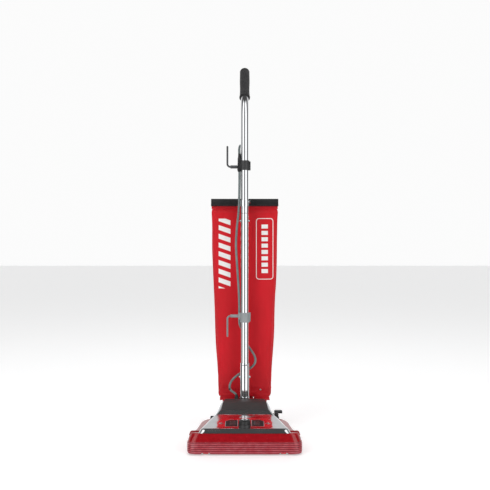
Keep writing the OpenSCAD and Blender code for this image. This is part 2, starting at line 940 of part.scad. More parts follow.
// Knob with a fluted edge and a bright ring let into its top
module height_knob() {
    base_z = shelf_z(knob_y + 18) + 2;
    color(black_c)
        placed()
            translate([0, knob_y, 0])
                difference() {
                    union() {
                        translate([0, 0, cam_z + 3])
                            cylinder(h = base_z - cam_z, r = 6.5);
                        translate([0, 0, base_z])
                            cylinder(h = 10, r = 17.5);
                        translate([0, 0, base_z + 10])
                            cylinder(h = 3.5, r1 = 17.5, r2 = 13, $fn = 48);
                    }
                    for (a = [0:30:330])
                        rotate([0, 0, a])
                            translate([18.6, 0, base_z + 2])
                                cylinder(h = 14, r = 2.2, $fn = 24);
                    translate([0, 0, base_z + 12])
                        difference() {
                            cylinder(h = 4, r = 9.5);
                            cylinder(h = 4, r = 7);
                        }
                }
}

// Spiral cam under the knob: a disc with a ramp that deepens as the knob turns
cam_track = [6.8, 12.8];

function cam_section(turn) = let (deep = max(0.3, cam_rise * turn / cam_travel - 0.8))
[
    for (corner = [[0, -deep], [1, -deep], [1, 1], [0, 1]])
        [
            cam_track[corner[0]] * cos(-turn - 22),
            cam_track[corner[0]] * sin(-turn - 22),
            corner[1]
        ]
];

module height_cam() {
    color(steel_c)
        placed()
            translate([0, knob_y, cam_z]) {
                cylinder(h = 3, r = 13.5);
                loft([for (turn = [0:10:cam_travel]) cam_section(turn)]);
            }
}

// Turn latches that hold the bottom plate up
module plate_latch(side) {
    color(steel_c)
        placed()
            translate([side * latch_x, latch_y, 0]) {
                translate([0, 0, base_floor_gap - 1.6])
                    cylinder(h = 12, r = 3);
                translate([0, 0, base_floor_gap - 1.6])
                    cylinder(h = 1.8, r = 7);
                block([-3, -16, base_floor_gap - 1.6], [3, 16, base_floor_gap + 0.2]);
            }
}

module plate_latch_left() {
    plate_latch(-1);
}

module plate_latch_right() {
    plate_latch(1);
}

// ---- Rear wheels ----

module rear_wheel(side) {
    color([0.2, 0.2, 0.21])
        placed()
            scale([side, 1, 1])
                difference() {
                    union() {
                        bar_x(94, 114, rear_axle_y, rear_wheel_r, 9);
                        bar_x(99, 109, rear_axle_y, rear_wheel_r, rear_wheel_r - 6);
                    }
                    bar_x(90, 120, rear_axle_y, rear_wheel_r, rear_axle_r + run_gap);
                    for (a = [0:60:300])
                        translate([0, rear_axle_y, rear_wheel_r])
                            rotate([a, 0, 0])
                                bar_x(98, 110, 14.5, 0, 3.5);
                }
}

module rear_wheel_left() {
    rear_wheel(-1);
}

module rear_wheel_right() {
    rear_wheel(1);
}

module rear_tyre(side) {
    color(black_c)
        placed()
            translate([side * 104, rear_axle_y, rear_wheel_r])
                rotate([0, 90, 0])
                    rotate_extrude()
                        polygon([
                            [rear_wheel_r - 6, -9], [rear_wheel_r - 2, -9], [rear_wheel_r, -7],
                            [rear_wheel_r, 7], [rear_wheel_r - 2, 9], [rear_wheel_r - 6, 9]
                        ]);
}

module rear_tyre_left() {
    rear_tyre(-1);
}

module rear_tyre_right() {
    rear_tyre(1);
}

// ---- Handle ----

// Cross tube of the fork with the saddle that the socket is welded to
module handle_bail() {
    color(steel_c)
        placed()
            difference() {
                union() {
                    bar_x(-crossbar_half, crossbar_half, crossbar_y, crossbar_z, crossbar_r);
                    block([-11, tube_y, crossbar_z - 6], [11, crossbar_y, crossbar_z + 9]);
                }
                translate([0, tube_y, socket_z - 20])
                    cylinder(h = 60, r = socket_r);
            }
}

module bail_arms() {
    color(steel_c)
        placed()
            both_sides()
                difference() {
                    hull() {
                        bar_x(crossbar_half, crossbar_half + bail_arm_t, crossbar_y, crossbar_z, 9);
                        bar_x(crossbar_half, crossbar_half + bail_arm_t, pivot_y, pivot_z, 11);
                    }
                    bar_x(crossbar_half - 1, ear_x, pivot_y, pivot_z, pivot_r + run_gap);
                }
}

// Chromed socket tube that the handle stands in
module handle_socket() {
    color(chrome_c)
        placed()
            difference() {
                translate([0, tube_y, socket_z - 10])
                    cylinder(h = socket_top_z - socket_z + 10, r = socket_r);
                translate([0, tube_y, socket_z - 11])
                    cylinder(h = socket_top_z, r = tube_r);
                bar_x(-20, 20, tube_y, 193, 2.6);
                translate([8, tube_y, 230])
                    rotate([90, 0, 0])
                        cylinder(h = 30, r = 2.2);
            }
}

// Cross bolt with a domed head on each side of a tube
module cross_bolt(z, half, head) {
    bar_x(-half - 2, half + 2, tube_y, z, 2.6);
    both_sides() {
        bar_x(half, half + 2, tube_y, z, head);
        bar_x(half + 2, half + 4.5, tube_y, z, head - 1.6);
    }
}

module socket_bolt() {
    color(chrome_c)
        placed()
            cross_bolt(193, socket_r, 5);
}

module handle_tube_lower() {
    color(chrome_c)
        placed()
            difference() {
                translate([0, tube_y, 140])
                    cylinder(h = tube_joint_z - 140, r = tube_r);
                translate([0, tube_y, 139])
                    cylinder(h = tube_joint_z, r = tube_r - tube_wall);
                bar_x(-20, 20, tube_y, 193, 2.6);
                bar_x(-20, 20, tube_y, 698, 2.6);
            }
}

// Upper tube: swaged into the lower one, then bent back under the grip
module handle_tube_upper() {
    swaged_r = tube_r - tube_wall;
    bore_r = swaged_r - tube_wall;
    color(chrome_c)
        placed()
            translate([0, tube_y, 0]) {
                difference() {
                    union() {
                        translate([0, 0, tube_joint_z - 44])
                            cylinder(h = 50, r = swaged_r);
                        translate([0, 0, tube_joint_z])
                            cylinder(h = bend_z - tube_joint_z, r = tube_r);
                    }
                    translate([0, 0, tube_joint_z - 45])
                        cylinder(h = 400, r = bore_r);
                    bar_x(-20, 20, 0, 698, 2.6);
                }
                translate([0, bend_r, bend_z])
                    rotate([0, 0, -90])
                        rotate([90, 0, 0])
                            rotate_extrude(angle = bend_angle)
                                translate([bend_r, 0])
                                    difference() {
                                        circle(r = tube_r);
                                        circle(r = bore_r);
                                    }
                translate([0, grip_start[0] - tube_y, grip_start[1]])
                    rotate([-bend_angle, 0, 0])
                        difference() {
                            cylinder(h = grip_len - 14, r = tube_r);
                            translate([0, 0, -1])
                                cylinder(h = grip_len, r = bore_r);
                        }
            }
}

module tube_bolt() {
    color(chrome_c)
        placed()
            cross_bolt(698, tube_r, 4.2);
}

// Moulded grip, flared at its mouth and domed at its end
module handle_grip() {
    dome = grip_dome_r;
    color(black_c)
        placed()
            translate([0, grip_start[0], grip_start[1]])
                rotate([-bend_angle, 0, 0])
                    rotate_extrude()
                        polygon(concat(
                            [[tube_r, 0], [17.4, 0], [17.6, 3], [16.6, 9], [15.6, 40],
                             [16.4, 85], [grip_end_r, grip_len - dome]],
                            [for (a = [15:15:90])
                                [
                                    grip_end_r - dome + dome * cos(a),
                                    grip_len - dome + dome * sin(a)
                                ]],
                            [[0, grip_len], [0, grip_len - 14], [tube_r, grip_len - 14]]
                        ));
}

// ---- Cord hooks ----

// Clip round the tube with a boss on the left; up is 1 for the upper hook and -1 for the lower
module hook_clip(z, up) {
    difference() {
        union() {
            translate([0, tube_y, z + (up > 0 ? -11 : -20)])
                cylinder(h = 31, r = tube_r + 3);
            block([-21, tube_y - 8, z - 11], [0, tube_y + 8, z + 11]);
            block([0, tube_y - 6, z + (up > 0 ? -11 : -17)], [19, tube_y + 6, z + (up > 0 ? 17 : 11)]);
        }
        translate([0, tube_y, z - 60])
            cylinder(h = 120, r = tube_r);
        // Channel for the lead
        translate([-17.5, tube_y + 1, z + up * 26])
            cylinder(h = 30, r = cord_d / 2 + 0.6, center = true);
    }
}

module hook_clip_lower() {
    color(grey_cord)
        placed()
            difference() {
                hook_clip(lower_hook_z, -1);
                translate([-17.5, 225, lower_hook_z - 60])
                    cylinder(h = 120, r = cord_d / 2 + 0.5);
            }
}

module hook_clip_upper() {
    stem = [-21.5, -16];
    color(black_c)
        placed()
            difference() {
                union() {
                    hook_clip(upper_hook_z, 1);
                    translate([-17, 225, upper_hook_z - 15])
                        cylinder(h = 44, r = 6);
                }
                translate([-17, 225, upper_hook_z + 25])
                    cylinder(h = 10, r = 2);
                bar_x(stem[0] - 5, stem[1], tube_y, upper_hook_z, 3.5 + run_gap);
                translate([0, tube_y, upper_hook_z - 60])
                    cylinder(h = 120, r = tube_r);
            }
}

// Height that a hook's rod reaches from its arm
hook_rise = 65;

// Hook arm reaching left along -X from its clip, with a free rod that points up or down
module hook_body(z, up, arm_x) {
    turn = 10;
    for (i = [0:2])
        bar_x(-hook_reach + turn, arm_x - 9 * i, tube_y, z, 3 + 1.1 * (2 - i));
    translate([-hook_reach + turn, tube_y, z + up * turn])
        rotate([90, 0, 0])
            rotate([0, 0, up > 0 ? 180 : 90])
                rotate_extrude(angle = 90)
                    translate([turn, 0])
                        circle(r = hook_rod_r, $fn = 32);
    translate([-hook_reach, tube_y, up > 0 ? z + turn : z - hook_rise])
        cylinder(h = hook_rise - turn, r = hook_rod_r);
    translate([-hook_reach, tube_y, z + up * hook_rise])
        sphere(r = hook_rod_r);
}

module cord_hook_lower() {
    color(grey_cord)
        placed()
            hook_body(lower_hook_z, -1, -21);
}

module cord_hook_upper() {
    color([0.25, 0.25, 0.26])
        placed() {
            hook_body(upper_hook_z, 1, -23.5);
            bar_x(-30, -16.5, tube_y, upper_hook_z, 3.5);
        }
}

// ---- Bag ----

// Bracket from the tube that holds the closure bar by its beaded front fin
module bag_hanger() {
    fin_z = closure_z + 3.5;
    color(chrome_c)
        placed()
            difference() {
                union() {
                    translate([0, tube_y, closure_z - 3])
                        cylinder(h = 20, r = tube_r + 2);
                    block([-9, tube_y, closure_z - 3], [9, closure_y - 8.2, closure_z + 12]);
                    bar_x(0, 19, tube_y, closure_z + 12, 4);
                }
                translate([0, tube_y, closure_z - 10])
                    cylinder(h = 40, r = tube_r);
                bar_x(-20, 20, closure_y - 14.5, fin_z, 2.6);
                block([-20, closure_y - 14.5, fin_z - 1.7], [20, closure_y, fin_z + 1.7]);
            }
}

// Constant section that slides along X over the bag's bead and through the hanger
module bag_closure() {
    fin_z = 3.5;
    color(black_c)
        placed()
            translate([-closure_half, closure_y, closure_z])
                rotate([90, 0, 90])
                    linear_extrude(height = 2 * closure_half)
                        difference() {
                            union() {
                                translate([-7.5, 0])
                                    square([15, closure_h - 7.5]);
                                translate([0, closure_h - 7.5])
                                    circle(r = 7.5);
                                translate([-14.5, fin_z - 1.2])
                                    square([8, 2.4]);
                                translate([-14.5, fin_z])
                                    circle(r = 2, $fn = 24);
                            }
                            translate([-1.9, -1])
                                square([3.8, 12]);
                            translate([-4.1, 7.4])
                                square([8.2, 10.2]);
                        }
}

function bag_ring(s) = let (
    w = s[1],
    front = s[2],
    rear = s[3],
    r = min(16, (rear - front) / 2.2),
    corners = [
        [w - r, front + r, -90], [w - r, rear - r, 0],
        [-w + r, rear - r, 90], [-w + r, front + r, 180]
    ]
)
[
    for (c = corners, a = [0:22.5:90])
        [c[0] + r * cos(c[2] + a), c[1] + r * sin(c[2] + a), s[0]]
];

// Outer form of the filled bag, with the stem and bead that the closure bar grips
module bag() {
    color(red_cloth)
        placed() {
            loft([for (s = bag_sections) bag_ring(s)]);
            block(
                [-closure_half + 1.5, closure_y - bag_stem_t / 2, 741],
                [closure_half - 1.5, closure_y + bag_stem_t / 2, bag_bead_z]
            );
            block(
                [-closure_half + 1.5, closure_y - bag_bead[0] / 2, bag_bead_z - bag_bead[1] / 2],
                [closure_half - 1.5, closure_y + bag_bead[0] / 2, bag_bead_z + bag_bead[1] / 2]
            );
        }
}

// Cloth sleeve from the exhaust neck up to the foot of the bag
module bag_cuff() {
    color([0.5, 0.04, 0.05])
        placed()
            hull() {
                block([-25, neck_end + 0.3, 54], [25, 298, 78]);
                block([-27, 292.2, 112], [27, 304, 115.8]);
            }
}

// ---- Cord ----

module cord_lead_lower() {
    color(grey_cord)
        placed()
            cord_tube(lead_lower_route, cord_d / 2, 10);
}

module cord_lead_upper() {
    color(grey_cord)
        placed()
            cord_tube(lead_upper_route, cord_d / 2, 10);
}

module supply_hang() {
    color(grey_cord)
        placed()
            cord_tube(smooth_route(supply_route, 2), cord_d / 2, 8);
}

module supply_coil() {
    half = coil_h / 2;
    r = 12;
    color(grey_cord)
        placed()
            translate([coil_centre[0], coil_centre[1], half])
                rotate_extrude()
                    polygon([
                        for (c = [[1, 1, 0], [-1, 1, 90], [-1, -1, 180], [1, -1, 270]], a = [0:30:90])
                            [
                                coil_mid_r + c[0] * (half - r) + r * cos(c[2] + a),
                                c[1] * (half - r) + r * sin(c[2] + a)
                            ]
                    ]);
}

// Strap round the coil's section, at the side nearest the machine
module coil_tie() {
    half = coil_h / 2;
    color(black_c)
        placed()
            translate([coil_centre[0], coil_centre[1] - coil_mid_r, half])
                difference() {
                    block([-6, -half - 1.8, -half], [6, half + 2.5, half + 1.8]);
                    block([-7, -half - 0.2, -half - 1], [7, half + 0.9, half + 0.2]);
                }
}

// Moulded plug with two blades and an earth pin, lying on the floor inside the coil
module supply_plug() {
    body_len = 30;
    blade_len = 16;
    color(black_c)
        placed()
            translate([coil_centre[0] - 20.75, coil_centre[1] + 30, 0]) {
                hull() {
                    block([0, -7, 1], [2, 7, 17]);
                    block([8, -12, 0], [body_len, 12, 24]);
                }
                for (side = [-1, 1])
                    block(
                        [body_len, side * 6.35 - 0.8, 11],
                        [body_len + blade_len, side * 6.35 + 0.8, 17.4]
                    );
                bar_x(body_len, body_len + blade_len + 2, 0, 5.5, 2.4);
            }
}

// Screws that hold the hood down to the deck
module hood_screws() {
    color(chrome_c)
        placed()
            both_sides()
                for (p = screw_places) {
                    translate([p[0], p[1], deck_z - 5])
                        cylinder(h = 5, r = 2);
                    translate([p[0], p[1], deck_z])
                        cylinder(h = 3, r = 4);
                }
}

base_housing();
hood();
hood_label();
knob_bezel();
bottom_plate();
intake_duct();
fan_chamber();
motor_housing();
exhaust_duct();
rear_axle();
bail_ears();
pivot_bolts();
pedal_bracket();
pedal_spring();
switch_housing();
cord_gland();
brush_bearings();
hood_screws();
drive_belt();
carriage_rod();
bag_cuff();
cord_lead_lower();
supply_hang();
supply_coil();
coil_tie();
supply_plug();
armature();
fan();
motor_pulley();
brush_roll();
brush_tufts();
wheel_carriage();
front_wheel_left();
front_wheel_right();
height_knob();
height_cam();
plate_latch_left();
plate_latch_right();
release_pedal();
power_switch();
handle_bail();
bail_arms();
handle_socket();
socket_bolt();
handle_tube_lower();
handle_tube_upper();
tube_bolt();
handle_grip();
hook_clip_lower();
cord_hook_lower();
hook_clip_upper();
bag_hanger();
bag();
cord_lead_upper();
cord_hook_upper();
bag_closure();
rear_wheel_left();
rear_wheel_right();
rear_tyre_left();
rear_tyre_right();
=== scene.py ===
"""Looks of an upright commercial vacuum cleaner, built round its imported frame."""

import json
import math

import bmesh
import bpy
import numpy as np
from mathutils import Matrix, Vector, noise
from mathutils.bvhtree import BVHTree


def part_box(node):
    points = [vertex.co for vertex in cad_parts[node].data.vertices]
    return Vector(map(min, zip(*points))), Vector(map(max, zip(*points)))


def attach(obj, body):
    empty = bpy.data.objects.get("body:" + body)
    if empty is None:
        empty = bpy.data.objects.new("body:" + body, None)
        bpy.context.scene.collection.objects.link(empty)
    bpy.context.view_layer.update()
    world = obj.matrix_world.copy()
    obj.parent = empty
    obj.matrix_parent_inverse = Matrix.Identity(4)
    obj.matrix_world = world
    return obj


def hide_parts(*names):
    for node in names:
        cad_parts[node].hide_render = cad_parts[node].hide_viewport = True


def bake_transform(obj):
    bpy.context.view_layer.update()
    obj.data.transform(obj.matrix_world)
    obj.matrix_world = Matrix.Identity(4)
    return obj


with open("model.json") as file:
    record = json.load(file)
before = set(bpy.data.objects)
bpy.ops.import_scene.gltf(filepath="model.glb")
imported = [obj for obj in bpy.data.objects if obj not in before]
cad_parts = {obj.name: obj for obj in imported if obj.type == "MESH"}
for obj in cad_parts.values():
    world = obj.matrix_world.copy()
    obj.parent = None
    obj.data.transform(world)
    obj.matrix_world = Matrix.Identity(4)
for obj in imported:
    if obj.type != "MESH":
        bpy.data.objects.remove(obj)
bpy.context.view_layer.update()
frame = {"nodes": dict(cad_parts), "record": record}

TAU = 2 * math.pi
SCENE = bpy.context.scene
NODES = frame["nodes"]

# Setbacks are counted in millimetres from the front face of the base.
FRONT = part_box("base_housing")[0].y


def at(x, setback, z):
    """The point at x, setback behind the front face and height z, all in millimetres."""
    return Vector((x / 1000, FRONT + setback / 1000, z / 1000))


def setback_of(y):
    return (y - FRONT) * 1000


# ---------------------------------------------------------------- camera

CAMERA_BACK = 2.2
CAMERA_HEIGHT = 0.62
FOCAL_SHARE = 748 / 490  # focal length as a share of the frame's width


def make_camera():
    """A level camera in front of the machine, at half its height."""
    data = bpy.data.cameras.new("camera")
    data.sensor_width = 36
    data.lens = data.sensor_width * FOCAL_SHARE
    data.dof.use_dof = False
    data.clip_start, data.clip_end = 0.05, 40
    camera = bpy.data.objects.new("camera", data)
    SCENE.collection.objects.link(camera)
    camera.location = (0.001, FRONT - CAMERA_BACK, CAMERA_HEIGHT)
    camera.rotation_euler = (math.pi / 2, 0, 0)
    SCENE.camera = camera
    SCENE.view_settings.view_transform = "Standard"


make_camera()


# ---------------------------------------------------------------- mesh helpers


def mesh_object(name, verts, faces, body=None, sharp=None):
    """A smooth-shaded mesh; sharp is the angle in degrees past which its edges stay sharp."""
    mesh = bpy.data.meshes.new(name)
    mesh.from_pydata([tuple(v) for v in verts], [], [tuple(f) for f in faces])
    mesh.validate()
    mesh.shade_smooth()
    if sharp:
        mesh.set_sharp_from_angle(angle=math.radians(sharp))
    obj = bpy.data.objects.new(name, mesh)
    SCENE.collection.objects.link(obj)
    if body:
        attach(obj, body)
    return obj


def ring_faces(rows, sides, closed=True):
    """Quads between neighbouring rows of sides points."""
    faces = []
    for i in range(rows - 1):
        for k in range(sides if closed else sides - 1):
            a, b = i * sides + k, i * sides + (k + 1) % sides
            faces.append((a, b, b + sides, a + sides))
    return faces


def caps_of(rows, sides):
    return [tuple(reversed(range(sides))), tuple(range((rows - 1) * sides, rows * sides))]


def carried_frames(points):
    """Tangent and two cross directions at each point, carried along without twist."""
    frames, side = [], None
    last = len(points) - 1
    for i in range(len(points)):
        tangent = (points[min(i + 1, last)] - points[max(i - 1, 0)]).normalized()
        if side is None:
            side = tangent.cross(Vector((0, 1, 0)))
            if side.length < 0.1:
                side = tangent.cross(Vector((1, 0, 0)))
        side = (side - tangent * side.dot(tangent)).normalized()
        frames.append((side, tangent.cross(side)))
    return frames


def circle(centre, u, v, r, sides):
    angles = [TAU * k / sides for k in range(sides)]
    return [centre + r * (u * math.cos(a) + v * math.sin(a)) for a in angles]


def tube(name, points, radii, sides=16, body=None, sharp=None):
    """A round tube along points; radii is one radius or one for each point."""
    if not hasattr(radii, "__len__"):
        radii = [radii] * len(points)
    verts = []
    for p, r, (u, v) in zip(points, radii, carried_frames(points)):
        verts += circle(p, u, v, r, sides)
    faces = ring_faces(len(points), sides) + caps_of(len(points), sides)
    return mesh_object(name, verts, faces, body, sharp)


def lathe(name, profile, foot, axis, sides=48, body=None, sharp=35):
    """Turns a profile of (radius, height) pairs, in millimetres, about axis from foot."""
    axis = axis.normalized()
    u = axis.orthogonal().normalized()
    v = axis.cross(u)
    verts = []
    for r, h in profile:
        verts += circle(foot + axis * h / 1000, u, v, max(r, 0.01) / 1000, sides)
    faces = ring_faces(len(profile), sides) + caps_of(len(profile), sides)
    return mesh_object(name, verts, faces, body, sharp)


def joined(name, objects, body=None):
    """One object from several that share their slots' materials."""
    made = bmesh.new()
    for obj in objects:
        made.from_mesh(obj.data)
        bpy.data.objects.remove(obj)
    mesh = bpy.data.meshes.new(name)
    made.to_mesh(mesh)
    made.free()
    mesh.shade_smooth()
    mesh.set_sharp_from_angle(angle=math.radians(35))
    obj = bpy.data.objects.new(name, mesh)
    SCENE.collection.objects.link(obj)
    if body:
        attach(obj, body)
    return obj


def with_modifiers(obj):
    """Writes the object's modifiers into its mesh."""
    evaluated = obj.evaluated_get(bpy.context.evaluated_depsgraph_get())
    mesh = bpy.data.meshes.new_from_object(evaluated)
    obj.modifiers.clear()
    obj.data = mesh
    return obj


def thicken(obj, thickness, even=True):
    """Gives an open sheet a thickness on its inner side."""
    solid = obj.modifiers.new("thickness", "SOLIDIFY")
    solid.thickness = thickness
    solid.offset = -1
    solid.use_even_offset = even
    return with_modifiers(obj)


def bevelled(obj, width, segments=3, angle=30):
    bevel = obj.modifiers.new("bevel", "BEVEL")
    bevel.width = width
    bevel.segments = segments
    bevel.limit_method = "ANGLE"
    bevel.angle_limit = math.radians(angle)
    return with_modifiers(obj)


def prism(name, outline, low, high, body=None, bevel=0.0):
    """A prism over an outline of (x, setback) pairs from height low to height high."""
    n = len(outline)
    verts = [at(x, s, low) for x, s in outline] + [at(x, s, high) for x, s in outline]
    obj = mesh_object(name, verts, ring_faces(2, n) + caps_of(2, n), None, 35)
    if bevel:
        bevelled(obj, bevel)
        obj.data.shade_smooth()
        obj.data.set_sharp_from_angle(angle=math.radians(50))
    if body:
        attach(obj, body)
    return obj


def catmull(points, steps):
    """A smooth curve through points, with steps stretches between each pair."""
    out, last = [], len(points) - 1
    for i in range(last):
        a, b = points[max(i - 1, 0)], points[i]
        c, d = points[i + 1], points[min(i + 2, last)]
        for k in range(steps):
            t = k / steps
            out.append(0.5 * (
                2 * b + (c - a) * t + (2 * a - 5 * b + 4 * c - d) * t * t
                + (3 * b - a - 3 * c + d) * t ** 3
            ))
    return out + [points[-1]]


def smooth_table(rows, x):
    """Values at x from rows of (x, value, ...), on curves that never overshoot the rows."""
    rows = np.array(rows, float)
    xs, ys = rows[:, 0], rows[:, 1:]
    if x <= xs[0]:
        return ys[0]
    if x >= xs[-1]:
        return ys[-1]
    steps = np.diff(ys, axis=0) / np.diff(xs)[:, None]
    slopes = np.zeros_like(ys)
    slopes[0], slopes[-1] = steps[0], steps[-1]
    same_way = steps[:-1] * steps[1:] > 0
    harmonic = 2 * steps[:-1] * steps[1:] / np.where(same_way, steps[:-1] + steps[1:], 1)
    slopes[1:-1] = np.where(same_way, harmonic, 0)
    i = int(np.searchsorted(xs, x)) - 1
    h = xs[i + 1] - xs[i]
    t = (x - xs[i]) / h
    return (
        (1 + 2 * t) * (1 - t) ** 2 * ys[i] + t * (1 - t) ** 2 * h * slopes[i]
        + t * t * (3 - 2 * t) * ys[i + 1] + t * t * (t - 1) * h * slopes[i + 1]
    )


def eased(t):
    t = min(1.0, max(0.0, t))
    return t * t * (3 - 2 * t)


# ---------------------------------------------------------------- cords

CORD_D = 0.0075
CORD_SIDES = 14

LEAD_ROUTE = [
    (-27, 231, 127.6), (-28.5, 235, 134), (-35, 239, 139), (-44, 241, 145),
    (-49, 242, 156), (-46, 242, 170), (-38, 242, 182), (-26, 243, 193), (-12, 244, 202),
    (4, 244.5, 210), (18, 244, 218), (30, 243, 229), (35, 242, 243), (32, 241.5, 258),
    (24, 241, 272), (14, 241, 286), (5, 241, 300), (0, 241, 314), (-2, 241, 327.6),
    (-6, 240, 341), (-13.5, 235.2, 354), (-17, 227, 368), (-17.5, 225, 384),
    (-17.5, 225, 420), (-19, 225, 470), (-23, 226, 530), (-27, 228, 590),
    (-28, 228, 630), (-25, 227, 680), (-20.5, 226, 720), (-18.5, 225, 750),
    (-17.5, 225, 790), (-17, 225, 830), (-17, 225, 858),
]
SUPPLY_ROUTE = [
    (-17, 225, 902.3), (-17.5, 226, 914), (-18, 232, 928), (-17, 243, 939),
    (-15, 258, 946), (-12, 275, 948), (-9, 293, 945), (-6, 311, 936), (-4, 327, 920),
    (-2, 337, 900), (-1, 342, 870), (0, 344, 820), (0, 345, 740), (0, 346, 640),
    (0, 347, 540), (0, 348, 440), (0, 348, 340), (0, 348, 240), (0, 348, 150),
    (0, 348, 90), (0, 350, 50), (-2, 358, 24), (-8, 372, 9), (-19, 388, 4),
    (-34, 404, 4), (-52, 424, 4), (-68, 450, 4), (-79, 480, 4), (-84, 510, 4),
]
COIL_LOW, COIL_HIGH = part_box("supply_coil")
COIL_CENTRE = (COIL_LOW + COIL_HIGH) / 2
PLUG_BACK = Vector((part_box("supply_plug")[0].x, 0, 0.009))
TURN_POINTS = 36


def coil_places():
    """Radius and height of each turn: columns from the outside in, up one and down the next."""
    outer = (COIL_HIGH.x - COIL_LOW.x) / 2 - CORD_D / 2
    places = []
    for column in range(6):
        lift = CORD_D / 2 + (CORD_D / 2 if column % 2 else 0)
        heights = [COIL_LOW.z + lift + 1.01 * CORD_D * row for row in range(5)]
        if column % 2:
            heights.reverse()
        places += [(outer - column * 0.88 * CORD_D, z) for z in heights]
    return places


def coil_path():
    """The turns, wound clockwise from the coil's left side, then a curve in to the plug."""
    places = coil_places()
    points = []
    for i, (r, z) in enumerate(places[:-1]):
        next_r, next_z = places[i + 1]
        for k in range(TURN_POINTS):
            share = eased((k / TURN_POINTS - 0.8) / 0.2)
            radius = r + (next_r - r) * share
            a = math.pi - TAU * k / TURN_POINTS
            points.append(Vector((
                COIL_CENTRE.x + radius * math.cos(a),
                COIL_CENTRE.y + radius * math.sin(a),
                z + (next_z - z) * share,
            )))
    r, z = places[-1]
    across = PLUG_BACK.x - (COIL_CENTRE.x - r)
    for k in range(10):
        a = math.pi - math.pi / 2 * k / 9
        points.append(Vector((
            PLUG_BACK.x + across * math.cos(a),
            COIL_CENTRE.y + 0.03 * math.sin(a),
            z + (PLUG_BACK.z - z) * eased(k / 9),
        )))
    return points


def make_lead():
    """The captive lead from the hood up to the top clip."""
    path = catmull([at(*p) for p in LEAD_ROUTE], 5)
    lead = tube("captive_lead", path, CORD_D / 2, CORD_SIDES)
    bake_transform(lead)
    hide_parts("cord_lead_lower", "cord_lead_upper")
    return lead


def make_supply():
    """The free cord: from the top clip over the bag, down behind it and into its coil."""
    path = catmull([at(*p) for p in SUPPLY_ROUTE], 4) + coil_path()
    supply = tube("supply_cord", path, CORD_D / 2, CORD_SIDES)
    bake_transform(supply)
    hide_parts("supply_hang", "supply_coil")
    return supply


def make_plug():
    """Moulded plug lying inside the coil: a ribbed body, two blades and an earth pin."""
    low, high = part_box("supply_plug")
    centre_y = (low.y + high.y) / 2
    body_end = low.x + 0.030
    sections = [
        (0, 5.2, 5.2, 9), (2.5, 5.6, 5.6, 9), (3, 4.9, 4.9, 9), (5.5, 5.9, 5.9, 9),
        (6, 5.2, 5.2, 9), (9, 6.8, 6.4, 9.5), (13, 9.4, 8.4, 10.5), (17, 11.4, 10.8, 11.5),
        (20, 11.8, 11.6, 12), (21, 11.2, 11.1, 12), (22.5, 11.8, 11.7, 12),
        (23.5, 11.2, 11.1, 12), (25, 11.9, 11.8, 12), (28.5, 11.9, 11.8, 12),
        (29.7, 11.2, 11.2, 12), (30, 10, 10, 12),
    ]
    sides = 40
    verts = []
    for along, half_y, half_z, z in sections:
        for k in range(sides):
            a = TAU * k / sides
            c, s = math.cos(a), math.sin(a)
            y = half_y * math.copysign(abs(c) ** 0.6, c)
            h = half_z * math.copysign(abs(s) ** 0.6, s)
            verts.append((low.x + along / 1000, centre_y + y / 1000, (z + h) / 1000))
    faces = ring_faces(len(sections), sides) + caps_of(len(sections), sides)
    body = mesh_object("plug_body", verts, faces, "base", 60)
    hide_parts("supply_plug")
    blades = []
    for side in (-1, 1):
        y = centre_y + side * 0.00635
        outline = [(body_end - 0.002, 11.2), (body_end + 0.0145, 11.2), (body_end + 0.016, 12.4)]
        outline += [(body_end + 0.016, 16), (body_end + 0.0145, 17.2), (body_end - 0.002, 17.2)]
        verts = [(x, y - 0.0008, z / 1000) for x, z in outline]
        verts += [(x, y + 0.0008, z / 1000) for x, z in outline]
        n = len(outline)
        blades.append(mesh_object("blade", verts, ring_faces(2, n) + caps_of(2, n)))
    pin_foot = Vector((body_end - 0.002, centre_y, 0.0055))
    pin = [(2.4, 0), (2.4, 17), (1.8, 19), (0.8, 20)]
    blades.append(lathe("pin", pin, pin_foot, Vector((1, 0, 0)), 24))
    blades = joined("plug_blades", blades, "base")
    return body, blades


def make_tie():
    """Rubber strap round the coil's section, with a stud that closes it."""
    low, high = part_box("coil_tie")
    centre = Vector(((low.x + high.x) / 2, (low.y + high.y) / 2, 0))
    half_y, top = (high.y - low.y) / 2, high.z
    profile = []
    for k in range(33):
        a = math.pi * k / 32
        c, s = math.cos(a), math.sin(a)
        profile.append((half_y * math.copysign(abs(c) ** 0.45, c), top * s ** 0.45))
    verts, rows = [], []
    for x in (-6, -5.4, 5.4, 6):
        inset = 0.0005 if abs(x) == 6 else 0
        row = [(y * (1 - inset / half_y), max(z - inset, 0)) for y, z in profile]
        inner = [(y * (1 - 0.0016 / half_y), z * (1 - 0.0016 / top)) for y, z in profile]
        rows.append([(centre.x + x / 1000, centre.y + y, z) for y, z in row + inner[::-1]])
    n = len(rows[0])
    for row in rows:
        verts += row
    strap = mesh_object("tie_strap", verts, ring_faces(4, n) + caps_of(4, n), None, 40)
    stud = [(3.2, 0), (3.2, 0.6), (2.6, 1.2), (1.2, 1.5)]
    boss = lathe("stud", stud, Vector((centre.x, centre.y, top)), Vector((0, 0, 1)), 24)
    tie = joined("coil_strap", [strap, boss], "base")
    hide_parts("coil_tie")
    return tie


def boot_profile(length, foot_r, tip_r):
    """A tapered strain relief with bending grooves."""
    profile = [(foot_r - 0.6, 0), (foot_r, 0.6)]
    grooves = int(length / 4)
    for i in range(grooves):
        start = 2 + i * (length - 4) / grooves
        r = foot_r + (tip_r - foot_r) * start / length
        profile += [(r, start), (r, start + 1.8), (r - 0.8, start + 2.2), (r - 0.8, start + 3)]
    return profile + [(tip_r, length - 1.4), (tip_r - 0.3, length)]


# ---------------------------------------------------------------- materials


